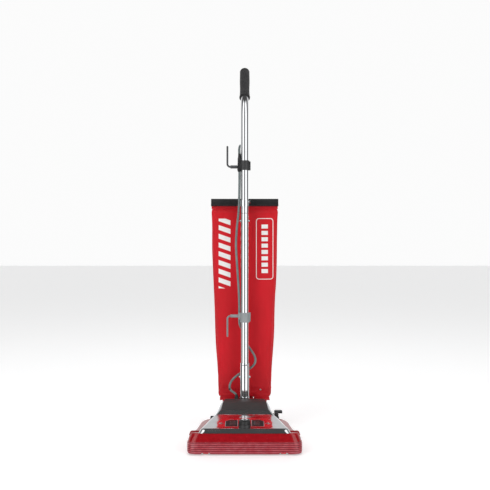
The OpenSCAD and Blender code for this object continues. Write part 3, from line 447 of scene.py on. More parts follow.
class Finish:
    """One node material, built step by step from positions on the object, in metres."""

    def __init__(self, name):
        self.material = bpy.data.materials.new(name)
        self.material.use_nodes = True
        self.tree = self.material.node_tree
        self.shader = self.tree.nodes["Principled BSDF"]
        self.place = self.node("ShaderNodeTexCoord").outputs["Object"]

    def node(self, kind, **settings):
        made = self.tree.nodes.new(kind)
        for key, value in settings.items():
            setattr(made, key, value)
        return made

    def put(self, socket, value):
        """Links value to a socket, or sets it if it is a number or colour."""
        if isinstance(value, bpy.types.NodeSocket):
            self.tree.links.new(value, socket)
        elif hasattr(value, "__len__") and len(value) == 3 and socket.type == "RGBA":
            socket.default_value = (*value, 1)
        else:
            socket.default_value = value

    def set(self, **values):
        """Sets the shader's own sockets; an underscore stands for a space."""
        for key, value in values.items():
            self.put(self.shader.inputs[key.replace("_", " ")], value)
        return self

    def math(self, operation, a, b=0.0, c=0.0):
        made = self.node("ShaderNodeMath", operation=operation)
        for socket, value in zip(made.inputs, (a, b, c)):
            self.put(socket, value)
        return made.outputs[0]

    def stretched(self, scale):
        made = self.node("ShaderNodeMapping")
        self.put(made.inputs["Vector"], self.place)
        made.inputs["Scale"].default_value = scale
        return made.outputs[0]

    def noise(self, size, detail=3.0, roughness=0.5, stretch=(1, 1, 1)):
        """Noise from 0 to 1 whose blobs are about size metres wide."""
        made = self.node("ShaderNodeTexNoise")
        self.put(made.inputs["Vector"], self.stretched([k / size for k in stretch]))
        made.inputs["Scale"].default_value = 1.0
        made.inputs["Detail"].default_value = detail
        made.inputs["Roughness"].default_value = roughness
        return made.outputs["Fac"]

    def ramp(self, value, low, high, out_low=0.0, out_high=1.0):
        made = self.node("ShaderNodeMapRange")
        for socket, number in zip(made.inputs, (value, low, high, out_low, out_high)):
            self.put(socket, number)
        return made.outputs[0]

    def mix(self, share, a, b):
        made = self.node("ShaderNodeMix", data_type="RGBA")
        self.put(made.inputs["Factor"], share)
        self.put(made.inputs["A"], a)
        self.put(made.inputs["B"], b)
        return made.outputs["Result"]

    def bump(self, height, distance, strength=1.0):
        """Raises the surface by height times distance metres."""
        made = self.node("ShaderNodeBump")
        made.inputs["Strength"].default_value = strength
        made.inputs["Distance"].default_value = distance
        self.put(made.inputs["Height"], height)
        before = self.shader.inputs["Normal"]
        if before.is_linked:
            self.put(made.inputs["Normal"], before.links[0].from_socket)
        self.put(before, made.outputs["Normal"])
        return self

    def coordinate(self, axis):
        made = self.node("ShaderNodeSeparateXYZ")
        self.put(made.inputs[0], self.place)
        return made.outputs[axis]

    def edge_wear(self):
        """1 on outer edges and 0 on flats, from the mesh's own pointiness."""
        pointed = self.node("ShaderNodeNewGeometry").outputs["Pointiness"]
        return self.ramp(pointed, 0.53, 0.6)


def chrome(name, tint, rough, wave):
    """Plated metal: faint smudges, hairline scratches and a slight waviness of the sheet."""
    f = Finish(name)
    smudge = f.ramp(f.noise(0.03, 4, 0.6), 0.45, 0.8, rough, rough + 0.1)
    scratch = f.ramp(f.noise(0.0006, 2, 0.5, (1, 1, 0.02)), 0.62, 0.75, 0, 0.06)
    dull = f.mix(f.ramp(f.noise(0.015, 5), 0.5, 0.9), tint, [k * 0.9 for k in tint])
    f.set(Metallic=1.0, Roughness=f.math("ADD", smudge, scratch), Base_Color=dull)
    f.bump(f.noise(0.05, 1), wave)
    return f.material


def plastic(name, colour, rough=0.35, grain=0.00004, grain_size=0.0007, coat=0.0):
    """Moulded plastic: spark-eroded grain, uneven gloss, pale rubbed edges and dust."""
    f = Finish(name)
    patches = f.noise(0.04, 4)
    lighter = [min(1.0, k * 1.5 + 0.03) for k in colour]
    tone = f.mix(f.ramp(patches, 0.3, 0.8), colour, [k * 1.2 + 0.004 for k in colour])
    rubbed = f.mix(f.math("MULTIPLY", f.edge_wear(), 0.5), tone, lighter)
    dust = f.ramp(f.noise(0.0015, 2), 0.68, 0.8, 0, 0.25)
    f.set(
        Base_Color=f.mix(dust, rubbed, [k * 0.8 + 0.05 for k in colour]),
        Roughness=f.ramp(patches, 0.2, 0.8, rough - 0.05, rough + 0.1),
        Coat_Weight=coat,
    )
    f.bump(f.noise(grain_size, 2), grain)
    return f.material


def rubber(name, colour, rough=0.6, ribs=None):
    """Rubber: matt, finely pitted, greyed where it is handled; ribs is (axis, pitch, depth)."""
    f = Finish(name)
    bloom = f.ramp(f.noise(0.02, 5, 0.6), 0.35, 0.8)
    f.set(
        Base_Color=f.mix(bloom, colour, [k * 1.6 + 0.01 for k in colour]),
        Roughness=f.ramp(f.noise(0.01, 4), 0.2, 0.8, rough - 0.08, rough + 0.12),
        Specular_IOR_Level=0.4,
    )
    f.bump(f.noise(0.0005, 3), 0.00005)
    if ribs:
        axis, pitch, depth = ribs
        wave = f.math("SINE", f.math("MULTIPLY", f.coordinate(axis), TAU / pitch))
        f.bump(wave, depth)
    return f.material


def metal(name, colour, rough, grain_axis, cast=0.0):
    """Bare metal: brushed along one axis, or pitted as cast, with darker stains."""
    f = Finish(name)
    stretch = [0.03 if k == grain_axis else 1 for k in range(3)]
    lines = f.noise(0.0008, 3, 0.6, stretch)
    stain = f.ramp(f.noise(0.025, 5, 0.65), 0.5, 0.75)
    f.set(
        Metallic=1.0,
        Base_Color=f.mix(stain, colour, [k * 0.72 for k in colour]),
        Roughness=f.ramp(lines, 0.3, 0.7, rough - 0.08, rough + 0.1),
    )
    f.bump(lines, 0.00002)
    if cast:
        f.bump(f.noise(0.0014, 3), cast)
    return f.material


CREASE_Z = 0.038


def clear_red():
    """Tinted base: deep red above the crease, hazy and paler in the ribbed band below, with painted
    shade in the grooves between its ribs.
    """
    f = Finish("clear_red")
    above = f.ramp(f.coordinate("Z"), CREASE_Z - 0.002, CREASE_Z + 0.003)
    haze = f.ramp(f.noise(0.012, 5, 0.6), 0.3, 0.75)
    pink = f.mix(haze, (0.68, 0.06, 0.09), (0.86, 0.22, 0.26))
    # Painted shade: darker red lines in the grooves between the ribs of the lower band.
    step = f.math("PINGPONG", f.math("SUBTRACT", f.coordinate("Z"), 0.0098), 0.0028)
    pink = f.mix(f.ramp(step, 0.0013, 0.0021), pink, (0.30, 0.008, 0.02))
    deep = f.mix(haze, (0.36, 0.002, 0.008), (0.48, 0.006, 0.014))
    scuff = f.ramp(f.noise(0.002, 4, 0.6, (0.3, 1, 1)), 0.6, 0.8, 0, 0.25)
    f.set(
        Base_Color=f.mix(above, pink, deep),
        Roughness=f.math("ADD", scuff, f.ramp(above, 0, 1, 0.3, 0.16)),
        Transmission_Weight=f.ramp(above, 0, 1, 0.42, 0.25),
        IOR=1.49,
        Coat_Weight=0.35,
        Coat_Roughness=0.12,
    )
    f.bump(f.noise(0.02, 2), 0.0002)
    f.bump(f.noise(0.0008, 2), 0.00001)
    return f.material


def clear_plastic():
    f = Finish("clear_plastic")
    f.set(
        Base_Color=f.mix(f.noise(0.01, 4), (0.8, 0.82, 0.85), (0.66, 0.68, 0.7)),
        Roughness=f.ramp(f.noise(0.006, 4), 0.3, 0.8, 0.12, 0.4),
        Transmission_Weight=0.75,
        IOR=1.49,
    )
    return f.material


# Plain marks on the front of the bag: a ladder of slanted bars on the left, and on the right a
# rounded frame round a column of blocks. Half-sizes and places are in metres.
LADDER = {"x": -0.0665, "z": 0.592, "half_x": 0.0195, "half_z": 0.115, "pitch": 0.0288}
PANEL = {"x": 0.066, "z": 0.6075, "half_x": 0.0275, "half_z": 0.1, "corner": 0.009}
PANEL_LINE = 0.0011


def inside_box(f, x, z, centre_x, centre_z, half_x, half_z, soft=0.0004):
    """1 within a rectangle in x and z, with a short soft edge."""
    off_x = f.math("SUBTRACT", half_x, f.math("ABSOLUTE", f.math("SUBTRACT", x, centre_x)))
    off_z = f.math("SUBTRACT", half_z, f.math("ABSOLUTE", f.math("SUBTRACT", z, centre_z)))
    return f.ramp(f.math("MINIMUM", off_x, off_z), -soft, soft)


def printed_marks(f, x, z):
    """Share of white print at x, z."""
    slanted = f.math("ADD", z, f.math("MULTIPLY", x, 0.35))
    step = f.math("PINGPONG", slanted, LADDER["pitch"] / 2)
    bars = f.ramp(step, LADDER["pitch"] * 0.21, LADDER["pitch"] * 0.24)
    ladder = f.math("MULTIPLY", bars, inside_box(
        f, x, z, LADDER["x"], LADDER["z"], LADDER["half_x"], LADDER["half_z"]
    ))
    from_x = f.math("ABSOLUTE", f.math("SUBTRACT", x, PANEL["x"]))
    from_z = f.math("ABSOLUTE", f.math("SUBTRACT", z, PANEL["z"]))
    corner = PANEL["corner"]
    out_x = f.math("MAXIMUM", f.math("SUBTRACT", from_x, PANEL["half_x"] - corner), 0.0)
    out_z = f.math("MAXIMUM", f.math("SUBTRACT", from_z, PANEL["half_z"] - corner), 0.0)
    away = f.math("SQRT", f.math("ADD", f.math("POWER", out_x, 2), f.math("POWER", out_z, 2)))
    off_line = f.math("ABSOLUTE", f.math("SUBTRACT", away, corner))
    outline = f.ramp(off_line, PANEL_LINE - 0.0003, PANEL_LINE + 0.0003, 1, 0)
    block_step = f.math("PINGPONG", f.math("SUBTRACT", z, PANEL["z"]), 0.0105)
    blocks = f.math("MULTIPLY", f.ramp(block_step, 0.0036, 0.0042), inside_box(
        f, x, z, PANEL["x"], PANEL["z"], 0.0105, 0.084
    ))
    return f.math("MAXIMUM", ladder, f.math("MAXIMUM", outline, blocks))


def bag_cloth(name, printed):
    """Coated woven nylon: square weave, sheen, soft mottling and dirt towards the foot."""
    f = Finish(name)
    x, y, z = (f.coordinate(axis) for axis in "XYZ")
    thread = 0.0007
    warp = f.math("SINE", f.math("MULTIPLY", x, TAU / thread))
    depth = f.math("SINE", f.math("MULTIPLY", y, TAU / thread))
    weft = f.math("SINE", f.math("MULTIPLY", z, TAU / thread))
    weave = f.math("MULTIPLY", f.math("ADD", warp, depth), weft)
    mottle = f.ramp(f.noise(0.05, 4, 0.55, (1, 1, 0.4)), 0.3, 0.75)
    red = f.mix(mottle, (0.58, 0.003, 0.010), (0.68, 0.005, 0.016))
    red = f.mix(f.ramp(weave, -1.2, 1.2, 0, 0.25), red, (0.42, 0.002, 0.01))
    dirt = f.math("MULTIPLY", f.ramp(z, 0.22, 0.12), f.noise(0.02, 4))
    red = f.mix(f.math("MULTIPLY", dirt, 0.4), red, (0.25, 0.01, 0.015))
    if printed:
        worn = f.ramp(f.noise(0.0012, 3), 0.25, 0.4, 0.75, 1)
        front = f.ramp(y, (BAG_LOW.y + BAG_HIGH.y) / 2 - 0.005, (BAG_LOW.y + BAG_HIGH.y) / 2, 1, 0)
        share = f.math("MULTIPLY", f.math("MULTIPLY", printed_marks(f, x, z), front), worn)
        red = f.mix(share, red, (0.86, 0.85, 0.84))
    f.set(
        Base_Color=red,
        Roughness=f.ramp(mottle, 0, 1, 0.5, 0.62),
        Sheen_Weight=0.06,
        Sheen_Roughness=0.4,
        Sheen_Tint=(1.0, 0.5, 0.5),
        Specular_IOR_Level=0.3,
    )
    f.bump(weave, 0.00006)
    f.bump(f.noise(0.012, 4, 0.6, (1, 1, 0.35)), 0.0005)
    return f.material


def wood():
    f = Finish("wood")
    grain = f.noise(0.004, 6, 0.65, (0.06, 1, 1))
    f.set(
        Base_Color=f.mix(f.ramp(grain, 0.3, 0.7), (0.55, 0.33, 0.15), (0.36, 0.19, 0.08)),
        Roughness=f.ramp(grain, 0.2, 0.8, 0.3, 0.5),
        Coat_Weight=0.3,
    )
    f.bump(grain, 0.0001)
    return f.material


def windings():
    """Lacquered copper and laminations, banded along the shaft."""
    f = Finish("armature_core")
    band = f.math("SINE", f.math("MULTIPLY", f.coordinate("Z"), TAU / 0.001))
    f.set(
        Metallic=0.8,
        Base_Color=f.mix(f.ramp(band, -1, 1), (0.5, 0.22, 0.1), (0.32, 0.14, 0.07)),
        Roughness=f.ramp(f.noise(0.004, 3), 0.2, 0.8, 0.3, 0.5),
    )
    f.bump(band, 0.0001)
    return f.material


BAG_LOW, BAG_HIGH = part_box("bag")
BLACK = (0.012, 0.012, 0.013)

MATERIALS = {
    "clear_red": clear_red(),
    "hood_chrome": chrome("hood_chrome", (0.74, 0.75, 0.77), 0.1, 0.0004),
    "handle_chrome": chrome("handle_chrome", (0.84, 0.85, 0.87), 0.035, 0.00002),
    "badge_red": plastic("badge_red", (0.5, 0.006, 0.014), 0.25, 0.00001, 0.002, 0.5),
    "badge_black": plastic("badge_black", (0.012, 0.012, 0.013), 0.5, 0.00002, 0.001),
    # Painted reflection: dark satin for the panel that stands for the dark reflection on the motor
    # cover.
    "painted_reflection_dark": plastic("painted_reflection_dark", (0.035, 0.034, 0.034), 0.5, 0.00003, 0.001),
    "badge_silver": metal("badge_silver", (0.62, 0.63, 0.65), 0.3, 0),
    "steel": metal("steel", (0.55, 0.56, 0.58), 0.32, 0),
    "black_plastic": plastic("black_plastic", BLACK, 0.38, 0.00006),
    "black_gloss": plastic("black_gloss", (0.008, 0.008, 0.009), 0.16, 0.00001, 0.004, 0.3),
    "switch_red": plastic("switch_red", (0.55, 0.01, 0.012), 0.3, 0.00003),
    "clear_plastic": clear_plastic(),
    "cast_alloy": metal("cast_alloy", (0.68, 0.68, 0.7), 0.42, 2, 0.0002),
    "armature_core": windings(),
    "wood": wood(),
    "bristle": plastic("bristle", (0.02, 0.02, 0.022), 0.5, 0.00002),
    "belt_rubber": rubber("belt_rubber", (0.012, 0.012, 0.013), 0.55),
    "grip_rubber": rubber("grip_rubber", (0.02, 0.02, 0.021), 0.55),
    "tyre_rubber": rubber("tyre_rubber", (0.018, 0.018, 0.019), 0.65),
    "cord_grey": rubber("cord_grey", (0.135, 0.16, 0.16), 0.42),
    "hook_grey": plastic("hook_grey", (0.2, 0.215, 0.22), 0.4, 0.00004),
    "hook_dark": plastic("hook_dark", (0.05, 0.052, 0.055), 0.4, 0.00004),
    "bag_cloth": bag_cloth("bag_cloth", True),
    "sleeve_cloth": bag_cloth("sleeve_cloth", False),
    "thread": plastic("thread", (0.32, 0.01, 0.015), 0.7, 0.0001, 0.0004),
}


def paint(obj, finish):
    """Gives a piece its material."""
    obj.data.materials.clear()
    obj.data.materials.append(MATERIALS[finish])
    return obj


def paint_cad_nodes():
    """Every node takes the material of the record's slot that it is in."""
    for part in frame["record"]["subparts"]:
        for place in NODES[part["node"]].material_slots:
            place.material = MATERIALS[part["material_slot"]]
    for place in NODES["bag_closure"].material_slots:
        place.material = MATERIALS["black_gloss"]


paint_cad_nodes()


# ---------------------------------------------------------------- base

BASE_HALF = 171.5
BASE_REAR = 288
DECK_Z = 63
RIB_TOPS = [8 + 5.6 * i for i in range(5)]
RIB_HEIGHT = 3.6
NOTCH = (103, 126)
NOTCH_Z = 9

# Height, then how far the front and the sides are drawn in
BASE_PROFILE = [
    (38, 2.4, 2.4), (42, 3.2, 3.4), (47, 4.6, 4.8), (57, 8, 9), (60, 9.2, 10.2),
    (62, 10.4, 11.6), (63, 12.4, 13.8),
]


def rib_rise(z):
    """How far the lower band is drawn in between its five rounded ribs."""
    for top in RIB_TOPS:
        t = (z - top) / RIB_HEIGHT
        if 0 < t < 1:
            return 1.3 * (1 - min(1, 3.2 * math.sin(math.pi * t)))
    return 1.3


def base_half(front, inset):
    """Right half of the base's plan outline, from the front middle to the rear middle."""
    w = BASE_HALF - inset
    rear = BASE_REAR - max(0, inset - 10)
    rear_half = 89 - min(inset, 3)
    corner = [
        (w - 26 + 26 * math.cos(a), front + 26 + 26 * math.sin(a))
        for a in np.radians(np.arange(-90, 1, 6))
    ]
    side = [
        (w, front + 26), (w - 1, 34), (w - 9, 48), (w - 14, 62), (w - 20, 110), (w - 25, 158),
        (w - 36, 186), (w - 58, 208), (rear_half + 6, 222), (rear_half, 234), (rear_half, 262),
    ]
    side = [(p.x, p.y) for p in catmull([Vector(p) for p in side], 5)][1:]
    back = [
        (rear_half - 10 + 10 * math.cos(a), rear - 10 + 10 * math.sin(a))
        for a in np.radians(np.arange(0, 91, 15))
    ]
    front_run = [(x, front) for x in np.linspace(0, w - 26, 30, endpoint=False)]
    back_run = [(x, rear) for x in np.linspace(rear_half - 10, 0, 10)[1:]]
    return front_run + corner + side + back + back_run


def base_ring(z, front, inset):
    half = base_half(front, inset)
    mirrored = [(-x, s) for x, s in half[-2:0:-1]]
    ring = []
    for x, s in half + mirrored:
        lifted = s < 12 and NOTCH[0] < abs(x) < NOTCH[1]
        ring.append(at(x, s, max(z, NOTCH_Z) if lifted else z))
    return ring


def make_base():
    """Clear base shell: ribbed band, crease, sloping band and the level deck."""
    rings = []
    for z in np.arange(4, 37.9, 0.45):
        rise = rib_rise(z)
        rings.append(base_ring(z, rise, rise))
    rings.append(base_ring(37.6, 3.4, 3.4))
    rings.append(base_ring(38.1, 3.6, 3.6))
    for z in np.concatenate([np.arange(38.6, 60, 1.2), np.linspace(60, DECK_Z, 8)]):
        front, inset = smooth_table(BASE_PROFILE, z)
        rings.append(base_ring(z, front, inset))
    edge = rings[-1]
    for share in (0.03, 0.5, 1.0):
        ring = []
        for p in edge:
            inner = at(min(82, max(-82, p.x * 1000)), min(222, max(25, setback_of(p.y))), DECK_Z)
            ring.append(p.lerp(inner, share))
        rings.append(ring)
    n = len(edge)
    verts = [p for ring in rings for p in ring]
    shell = mesh_object("base_shell", verts, ring_faces(len(rings), n))
    work = bmesh.new()
    work.from_mesh(shell.data)
    bmesh.ops.remove_doubles(work, verts=work.verts, dist=1e-6)
    bmesh.ops.recalc_face_normals(work, faces=work.faces)
    if sum(face.normal.z for face in work.faces if face.calc_center_median().z > 0.0629) < 0:
        bmesh.ops.reverse_faces(work, faces=work.faces)
    work.to_mesh(shell.data)
    work.free()
    thicken(shell, 0.0024, even=False)
    shell.data.shade_smooth()
    shell.data.set_sharp_from_angle(angle=math.radians(50))
    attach(shell, "base")
    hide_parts("base_housing")
    paint(shell, "clear_red")


def make_bumper_tabs():
    """Two snap tabs that hold the guard band in the notches of the front edge."""
    tabs = []
    for side in (-1, 1):
        x = side * 114.5
        outline = [(x - 8, 3.4), (x + 8, 3.4), (x + 8, 9), (x - 8, 9)]
        tabs.append(prism("tab", outline, 4.4, 8.2, bevel=0.0008))
    tabs = joined("guard_tabs", tabs, "base")
    paint(tabs, "badge_red")


# ---------------------------------------------------------------- hood

LIP = 12
HOOD_FRONT = 10
HOOD_REAR = 231

# Setback, half-width at the deck, half-width at the top, height of the top
HOOD_TABLE = [
    (22, 137, 133, 78), (60, 126, 120, 86), (100, 113.4, 104, 94.2), (106, 111, 100, 96.4),
    (113, 108.5, 94, 101), (124, 106, 86.5, 109), (150, 100.2, 80, 122.2), (160, 98.4, 78.2, 125.2),
    (170, 97, 77, 126), (212, 94, 74, 125.5), (222, 93.2, 72.6, 123.6), (231, 91, 67, 115),
]


def hood_section(s):
    """Half-width at the deck, half-width at the top and height of the top at setback s."""
    foot, shoulder, top = smooth_table(HOOD_TABLE, max(s, 22))
    if s < HOOD_FRONT + LIP:
        round_in = math.sqrt(max(0.0, 1 - ((HOOD_FRONT + LIP - s) / LIP) ** 2))
        foot -= 13 * (1 - round_in)
        shoulder -= 14 * (1 - round_in)
        top -= 8 * (1 - round_in)
    return foot, shoulder, top


def hood_top(x, s):
    """Height of the hood's skin over x at setback s, with its slight crown."""
    _, shoulder, top = hood_section(s)
    return top - 0.8 * min(1.0, abs(x) / shoulder) ** 2


def hood_row(s):
    foot, shoulder, top = hood_section(s)
    r = min(15.0, (top - DECK_Z) * 0.72)
    slope = math.atan2(foot - shoulder, top - DECK_Z)
    cx, cz = shoulder - r, top - r
    half = []
    side_x, side_z = cx + r * math.cos(slope), cz + r * math.sin(slope)
    for t in np.linspace(0, 1, 7, endpoint=False):
        half.append((foot + (side_x - foot) * t, DECK_Z + (side_z - DECK_Z) * t))
    for a in np.linspace(slope, math.pi / 2, 14):
        half.append((cx + r * math.cos(a), cz + r * math.sin(a)))
    for x in np.linspace(cx, 0, 18)[1:]:
        half.append((x, top))
    crowned = [(x, z - 0.8 * (min(1.0, x / shoulder) ** 2) * (z > cz)) for x, z in half]
    return crowned + [(-x, z) for x, z in crowned[-2::-1]]


def make_hood():
    """Plated hood: rolled front lip, flat shelf, raised motor cover and the handle's slot."""
    lip = HOOD_FRONT + LIP * (1 - np.cos(np.radians(np.arange(0, 91, 7.5))))
    setbacks = list(lip) + list(np.linspace(24, 100, 22)) + list(np.linspace(102, 172, 44))
    setbacks += list(np.linspace(176, 214, 12)) + list(np.linspace(216, HOOD_REAR, 10))
    rows = [[at(x, s, z) for x, z in hood_row(s)] for s in setbacks]
    for k, s in ((0, HOOD_FRONT), (-1, HOOD_REAR)):
        wall = [Vector((p.x, p.y, DECK_Z / 1000)) for p in rows[k]]
        middle = [(p + q) / 2 for p, q in zip(rows[k], wall)]
        rows = [wall, middle] + rows if k == 0 else rows + [middle, wall]
    n = len(rows[0])
    verts = [p for row in rows for p in row]
    hood = mesh_object("hood_shell", verts, ring_faces(len(rows), n, closed=False))
    work = bmesh.new()
    work.from_mesh(hood.data)
    bmesh.ops.remove_doubles(work, verts=work.verts, dist=1e-6)
    bmesh.ops.recalc_face_normals(work, faces=work.faces)
    if sum(f.normal.z * f.calc_area() for f in work.faces) < 0:
        bmesh.ops.reverse_faces(work, faces=work.faces)
    work.to_mesh(hood.data)
    work.free()
    thicken(hood, 0.0016)
    half_circle = [
        (18.2 * math.cos(a), 224 + 18.2 * math.sin(a)) for a in np.radians(np.arange(180, 361, 6))
    ]
    windows = [
        prism("slot", half_circle + [(18.2, 240), (-18.2, 240)], 84, 150),
        prism("window", [(-60.2, 221), (-31.8, 221), (-31.8, 240), (-60.2, 240)], 80.8, 98.2),
        prism("notch", [(79.4, 216.4), (100, 216.4), (100, 240), (79.4, 240)], 55, 76),
    ]
    for window in windows:
        cut = hood.modifiers.new("window", "BOOLEAN")
        cut.operation = "DIFFERENCE"
        cut.solver = "EXACT"
        cut.object = window
        with_modifiers(hood)
        bpy.data.objects.remove(window)
    hood.data.shade_smooth()
    hood.data.set_sharp_from_angle(angle=math.radians(38))
    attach(hood, "base")
    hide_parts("hood")
    paint(hood, "hood_chrome")


def draped(name, outline, lift, thickness, body="base", step=2.0):
    """A thin plate over an outline of (x, setback) pairs that follows the top of the hood."""
    work = bmesh.new()
    corners = [work.verts.new((x, s, 0)) for x, s in outline]
    work.faces.new(corners)
    low = np.min(outline, axis=0)
    high = np.max(outline, axis=0)
    for axis in (0, 1):
        for place in np.arange(low[axis] + step, high[axis], step):
            normal = Vector((1, 0, 0)) if axis == 0 else Vector((0, 1, 0))
            geometry = work.verts[:] + work.edges[:] + work.faces[:]
            bmesh.ops.bisect_plane(work, geom=geometry, plane_co=normal * place, plane_no=normal)
    for v in work.verts:
        x, s = v.co.x, v.co.y
        v.co = at(x, s, hood_top(x, s) + lift + thickness)
    mesh = bpy.data.meshes.new(name)
    bmesh.ops.recalc_face_normals(work, faces=work.faces)
    if sum(f.normal.z for f in work.faces) < 0:
        bmesh.ops.reverse_faces(work, faces=work.faces)
    work.to_mesh(mesh)
    work.free()
    plate = bpy.data.objects.new(name, mesh)
    SCENE.collection.objects.link(plate)
    thicken(plate, thickness / 1000)
    bevelled(plate, thickness / 4000, 2, 50)
    plate.data.shade_smooth()
    plate.data.set_sharp_from_angle(angle=math.radians(35))
    if body:
        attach(plate, body)
    return plate


def rounded(points, r, steps=5):
    """An outline with its corners rounded to radius r."""
    out, n = [], len(points)
    for i in range(n):
        corner = Vector(points[i])
        before = (Vector(points[i - 1]) - corner).normalized()
        after = (Vector(points[(i + 1) % n]) - corner).normalized()
        for k in range(steps + 1):
            t = k / steps
            p = corner + before * r * (1 - t) ** 2 + after * r * t ** 2
            out.append((p.x, p.y))
    return out


def mirrored(outline):
    return [(-x, s) for x, s in reversed(outline)]


def make_badge():
    """Red name plate without a name: a humped back edge, two dark panels and two arrows."""
    right = [(84, 24.5), (80.5, 38), (84, 50), (80, 66), (72, 80), (56, 83), (40, 80), (24, 86)]
    plate = draped("badge", rounded(right + mirrored(right), 3), 0.1, 0.9)
    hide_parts("hood_label")
    paint(plate, "badge_red")
    frames, panels = [], []
    for side in (-1, 1):
        panel = [(22, 28), (57, 28), (57, 60), (48, 68), (22, 68)]
        flip = panel if side > 0 else mirrored(panel)
        inner = rounded(flip, 2)
        middle = Vector(np.mean(flip, axis=0))
        outer = [tuple(middle + (Vector(p) - middle) * 1.09) for p in inner]
        frames.append(draped("frame", outer, 1.0, 0.35, None, 4.0))
        panels.append(draped("panel", inner, 1.35, 0.4, None, 4.0))
        for line in range(4):
            s = 36 + line * 7.5
            bar = [(27, s), (45, s), (45, s + 1.2), (27, s + 1.2)]
            bar = bar if side > 0 else mirrored(bar)
            frames.append(draped("line", bar, 1.7, 0.2, None, 8.0))
        arrow = [(62, 44), (69, 44), (69, 39), (78, 47), (69, 55), (69, 50), (62, 50)]
        frames.append(draped("arrow", arrow if side > 0 else mirrored(arrow), 1.0, 0.35, None, 4.0))
        mark = [(34, 73), (46, 73), (46, 76.5), (34, 76.5)]
        frames.append(draped("mark", mark if side > 0 else mirrored(mark), 1.0, 0.3, None, 8.0))
    paint(joined("badge_frames", frames, "base"), "badge_silver")
    paint(joined("badge_panels", panels, "base"), "badge_black")


def make_painted_reflection_panel():
    """Dark satin panel set into the top of the raised motor cover, a painted reflection that stands
    for the dark reflection on the plating there.
    """
    outline = rounded([(-73, 122), (73, 122), (63, 203), (-63, 203)], 7)
    # Painted reflection: a dark panel where the plated motor cover shows a dark reflection.
    panel = draped("painted_reflection_panel", outline, 0.1, 0.6)
    paint(panel, "painted_reflection_dark")


def make_knob_ring():
    """Bright pressed ring let into the top of the knob, with a dished centre and a pointer."""
    low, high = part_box("height_knob")
    centre = Vector(((low.x + high.x) / 2, (low.y + high.y) / 2, high.z))
    up = Vector((0, 0, 1))
    ring = [(6.6, -1.4), (6.9, 0.4), (7.4, 1.0), (9.6, 1.0), (10.4, 0.4), (10.8, -1.4)]
    ring = lathe("ring", ring + [(6.7, -1.5)], centre, up)
    pointer = []
    for radius, half, rise in ((12.6, 0.3, 0.1), (11.4, 1.6, 0.5)):
        pointer += [(-half, radius, rise), (half, radius, rise)]
    pointer = [centre + Vector(p) / 1000 for p in pointer]
    under = [p - Vector((0, 0, 0.0012)) for p in pointer]
    order = [0, 1, 3, 2]
    pointer = mesh_object(
        "pointer", [pointer[i] for i in order] + [under[i] for i in order],
        ring_faces(2, 4) + caps_of(2, 4),
    )
    paint(joined("knob_ring", [ring, pointer], "knob"), "handle_chrome")


def make_gland_boot():
    """Tapered boot where the captive lead leaves the hood."""
    foot = at(-27, 222, 112)
    lean = Vector((0, math.sin(math.radians(30)), math.cos(math.radians(30))))
    boot = lathe("gland_boot", boot_profile(24, 8, 4.6), foot, lean, 40, "base")
    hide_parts("cord_gland")
    paint(boot, "grip_rubber")


def screw(name, x, s, z, r):
    """Pan-head screw with a cross recess, standing up at height z."""
    profile = [(r * 0.5, -2), (r, -0.2), (r, 0.6)]
    profile += [(r * math.cos(a), 0.6 + 2.2 * math.sin(a)) for a in np.radians(range(15, 86, 14))]
    head = lathe(name, profile, at(x, s, z), Vector((0, 0, 1)), 32)
    for turn in (0, 90):
        arm = [(-0.5, -r * 0.7), (0.5, -r * 0.7), (0.5, r * 0.7), (-0.5, r * 0.7)]
        cutter = prism("recess", arm, 1.4, 6)
        cutter.data.transform(Matrix.Translation(-at(0, 0, 0)))
        cutter.data.transform(Matrix.Rotation(math.radians(turn + 20), 4, "Z"))
        cutter.data.transform(Matrix.Translation(at(x, s, z)))
        cut = head.modifiers.new("recess", "BOOLEAN")
        cut.solver = "EXACT"
        cut.object = cutter
        with_modifiers(head)
        bpy.data.objects.remove(cutter)
    return head


def make_deck_screws():
    places = [(side * x, s) for side in (-1, 1) for x, s in ((104, 60), (92, 150))]
    heads = [screw("screw", x, s, DECK_Z, 4) for x, s in places]
    heads = joined("deck_screws", heads, "base")
    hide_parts("hood_screws")
    paint(heads, "handle_chrome")


def make_pedal_spring():
    """Torsion spring round the pedal's pin, with its two legs."""
    low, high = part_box("pedal_spring")
    y, z = (low.y + high.y) / 2, (low.z + high.z) / 2
    x0, x1 = low.x + 0.0006, high.x - 0.0006
    r = (high.z - low.z) / 2 - 0.0006
    points = [Vector((x0, y + 0.005, z - r)), Vector((x0, y + 0.003, z - r))]
    turns, steps = 3, 24
    for k in range(turns * steps + 1):
        a = TAU * k / steps
        x = x0 + (x1 - x0) * k / (turns * steps)
        points.append(Vector((x, y - r * math.sin(a), z - r * math.cos(a))))
    spring = tube("torsion_spring", points, 0.0006, 10, "base")
    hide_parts("pedal_spring")
    paint(spring, "handle_chrome")


# ---------------------------------------------------------------- brush

BRISTLES_PER_TUFT = 26


